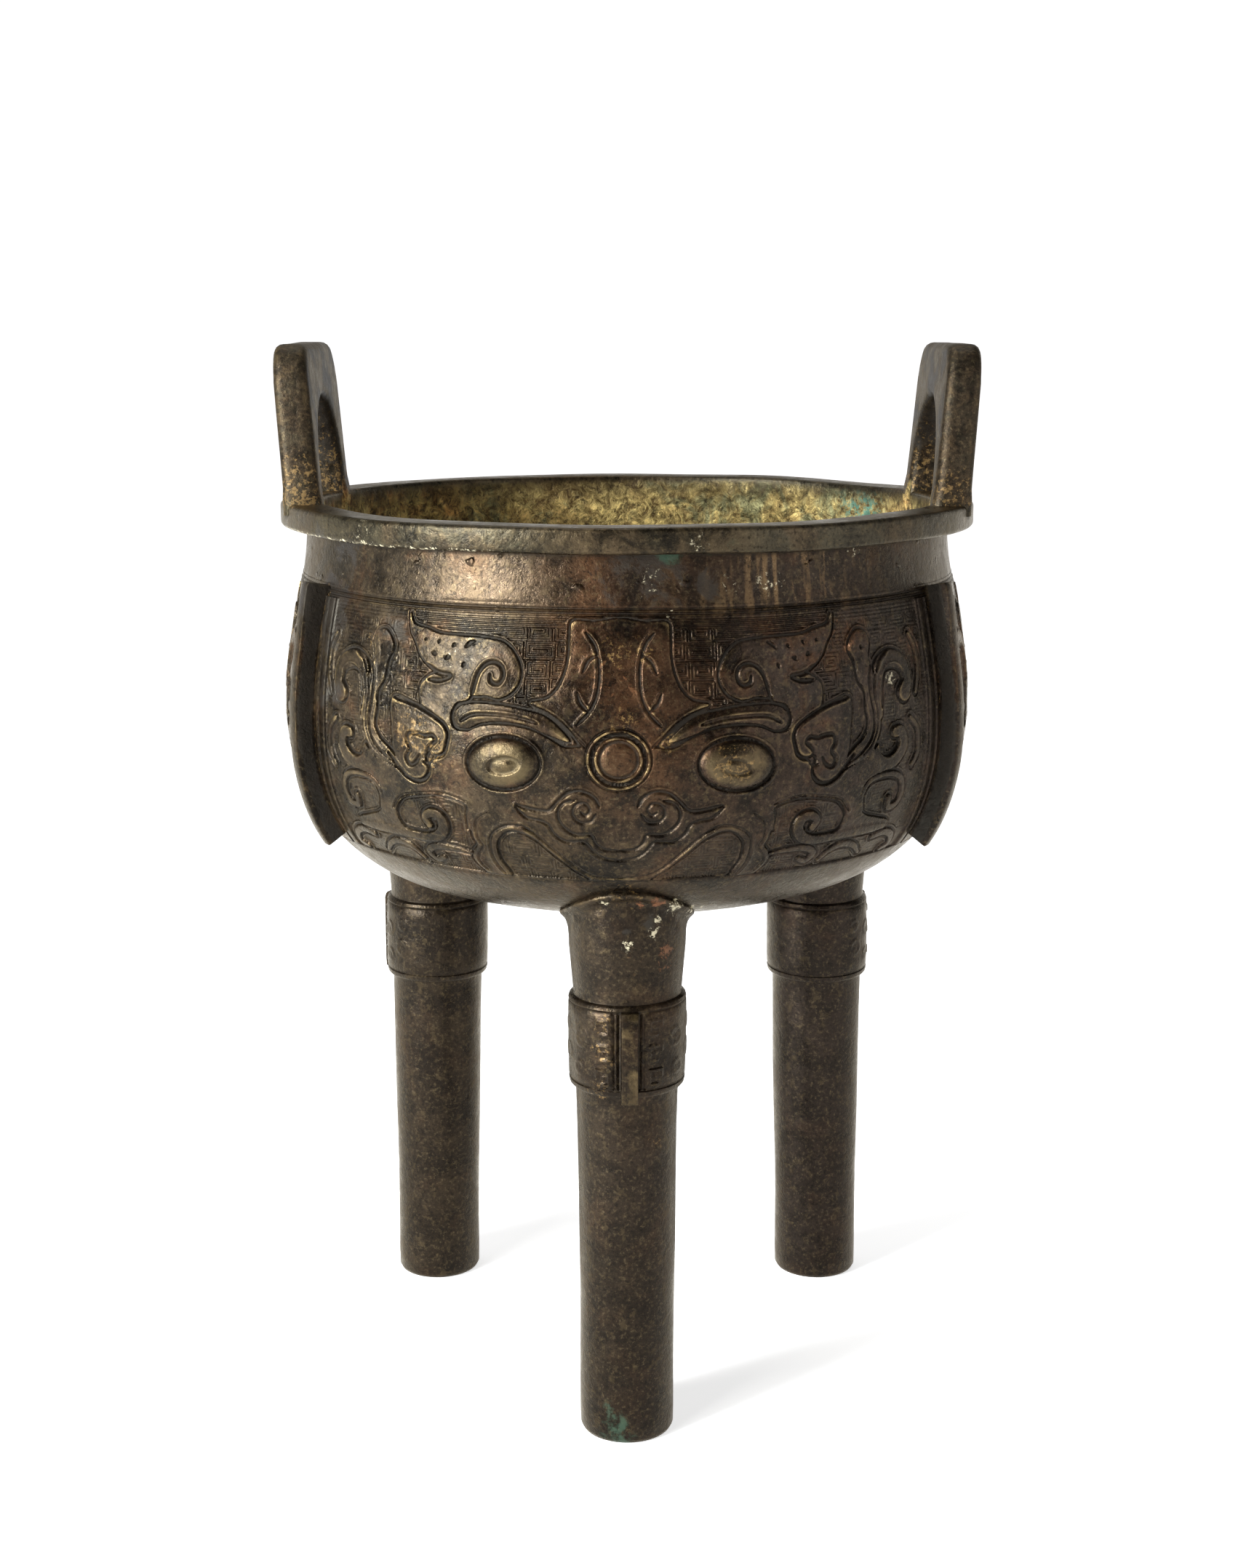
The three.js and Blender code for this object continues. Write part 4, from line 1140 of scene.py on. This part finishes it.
def floor():
    a = FLOOR_REACH
    mesh = bpy.data.meshes.new("floor")
    mesh.from_pydata([(-a, -a, 0), (a, -a, 0), (a, a, 0), (-a, a, 0)], [], [(0, 1, 2, 3)])
    material = bpy.data.materials.new("floor_white")
    material.use_nodes = True
    tree = material.node_tree
    shader = tree.nodes["Principled BSDF"]
    shader.inputs["Base Color"].default_value = (0.8, 0.8, 0.8, 1)
    shader.inputs["Roughness"].default_value = 0.8
    shader.inputs["Specular IOR Level"].default_value = 0.1
    shader.inputs["Emission Color"].default_value = (1, 1, 1, 1)
    # The floor glows where it lies beyond the lights.
    place = node(tree, "ShaderNodeTexCoord").outputs["Object"]
    far = node(tree, "ShaderNodeVectorMath", (0, place), operation="LENGTH").outputs["Value"]
    tree.links.new(map_range(tree, far, 0.3, 2.0, 0.66, 1.0), shader.inputs["Emission Strength"])
    mesh.materials.append(material)
    add_object("floor", mesh)


def area_light(name, place, target, size, power, colour=(1, 1, 1)):
    light = bpy.data.lights.new(name, "AREA")
    light.shape = "RECTANGLE"
    light.size, light.size_y = size
    light.energy = power
    light.color = colour
    ob = add_object(name, light)
    ob.location = place
    ob.rotation_euler = (Vector(target) - Vector(place)).to_track_quat("-Z", "Y").to_euler()


def studio():
    """The lights, and a white sweep behind that is dimmer in front and overhead."""
    area_light("key", (-1.0, -0.85, 0.95), (0, 0, 0.2), (0.8, 1.0), 21, (1, 0.99, 0.96))
    area_light("strip", (-1.05, -0.82, 0.5), (0, 0, 0.24), (0.36, 0.45), 34, (0.95, 1, 1))
    area_light("strip_right", (0.95, -0.9, 0.4), (0, 0, 0.24), (0.1, 0.5), 1.2)
    area_light("fill", (1.3, -0.6, 0.7), (0, 0, 0.2), (0.5, 1.2), 4.5, (1, 0.98, 0.95))
    area_light("top", (-0.1, 0.35, 1.3), (0, 0, 0.25), (0.9, 0.7), 5)
    world = bpy.data.worlds.new("studio")
    bpy.context.scene.world = world
    world.use_nodes = True
    tree = world.node_tree
    way = node(tree, "ShaderNodeTexCoord").outputs["Generated"]
    way = node(tree, "ShaderNodeSeparateXYZ", (0, way)).outputs
    sweep = map_range(tree, way["Y"], 0.0, 0.75, 0.06, 1.05)
    above = map_range(tree, way["Z"], 0.16, 0.42, 1.0, 0.2)
    near_floor = map_range(tree, way["Z"], 0.08, 0.26, 0.8, 0.0)
    strength = node(tree, "ShaderNodeMath", (0, sweep), (1, above), operation="MULTIPLY").outputs[0]
    strength = node(tree, "ShaderNodeMath", (0, strength), (1, near_floor), operation="MAXIMUM").outputs[0]
    tree.links.new(strength, tree.nodes["Background"].inputs["Strength"])
    tree.nodes["Background"].inputs["Color"].default_value = (1, 1, 1, 1)


def camera():
    """The camera at the photo's angle."""
    data = bpy.data.cameras.new("camera")
    data.sensor_fit = "VERTICAL"
    data.sensor_height = CAMERA_FILM
    data.lens = CAMERA_LENS
    ob = add_object("camera", data)
    ob.location = CAMERA_AT
    ob.rotation_euler = (math.pi / 2 - CAMERA_PITCH, 0, 0)
    bpy.context.scene.camera = ob
    bpy.context.scene.view_settings.view_transform = "Standard"


floor()
studio()
camera()
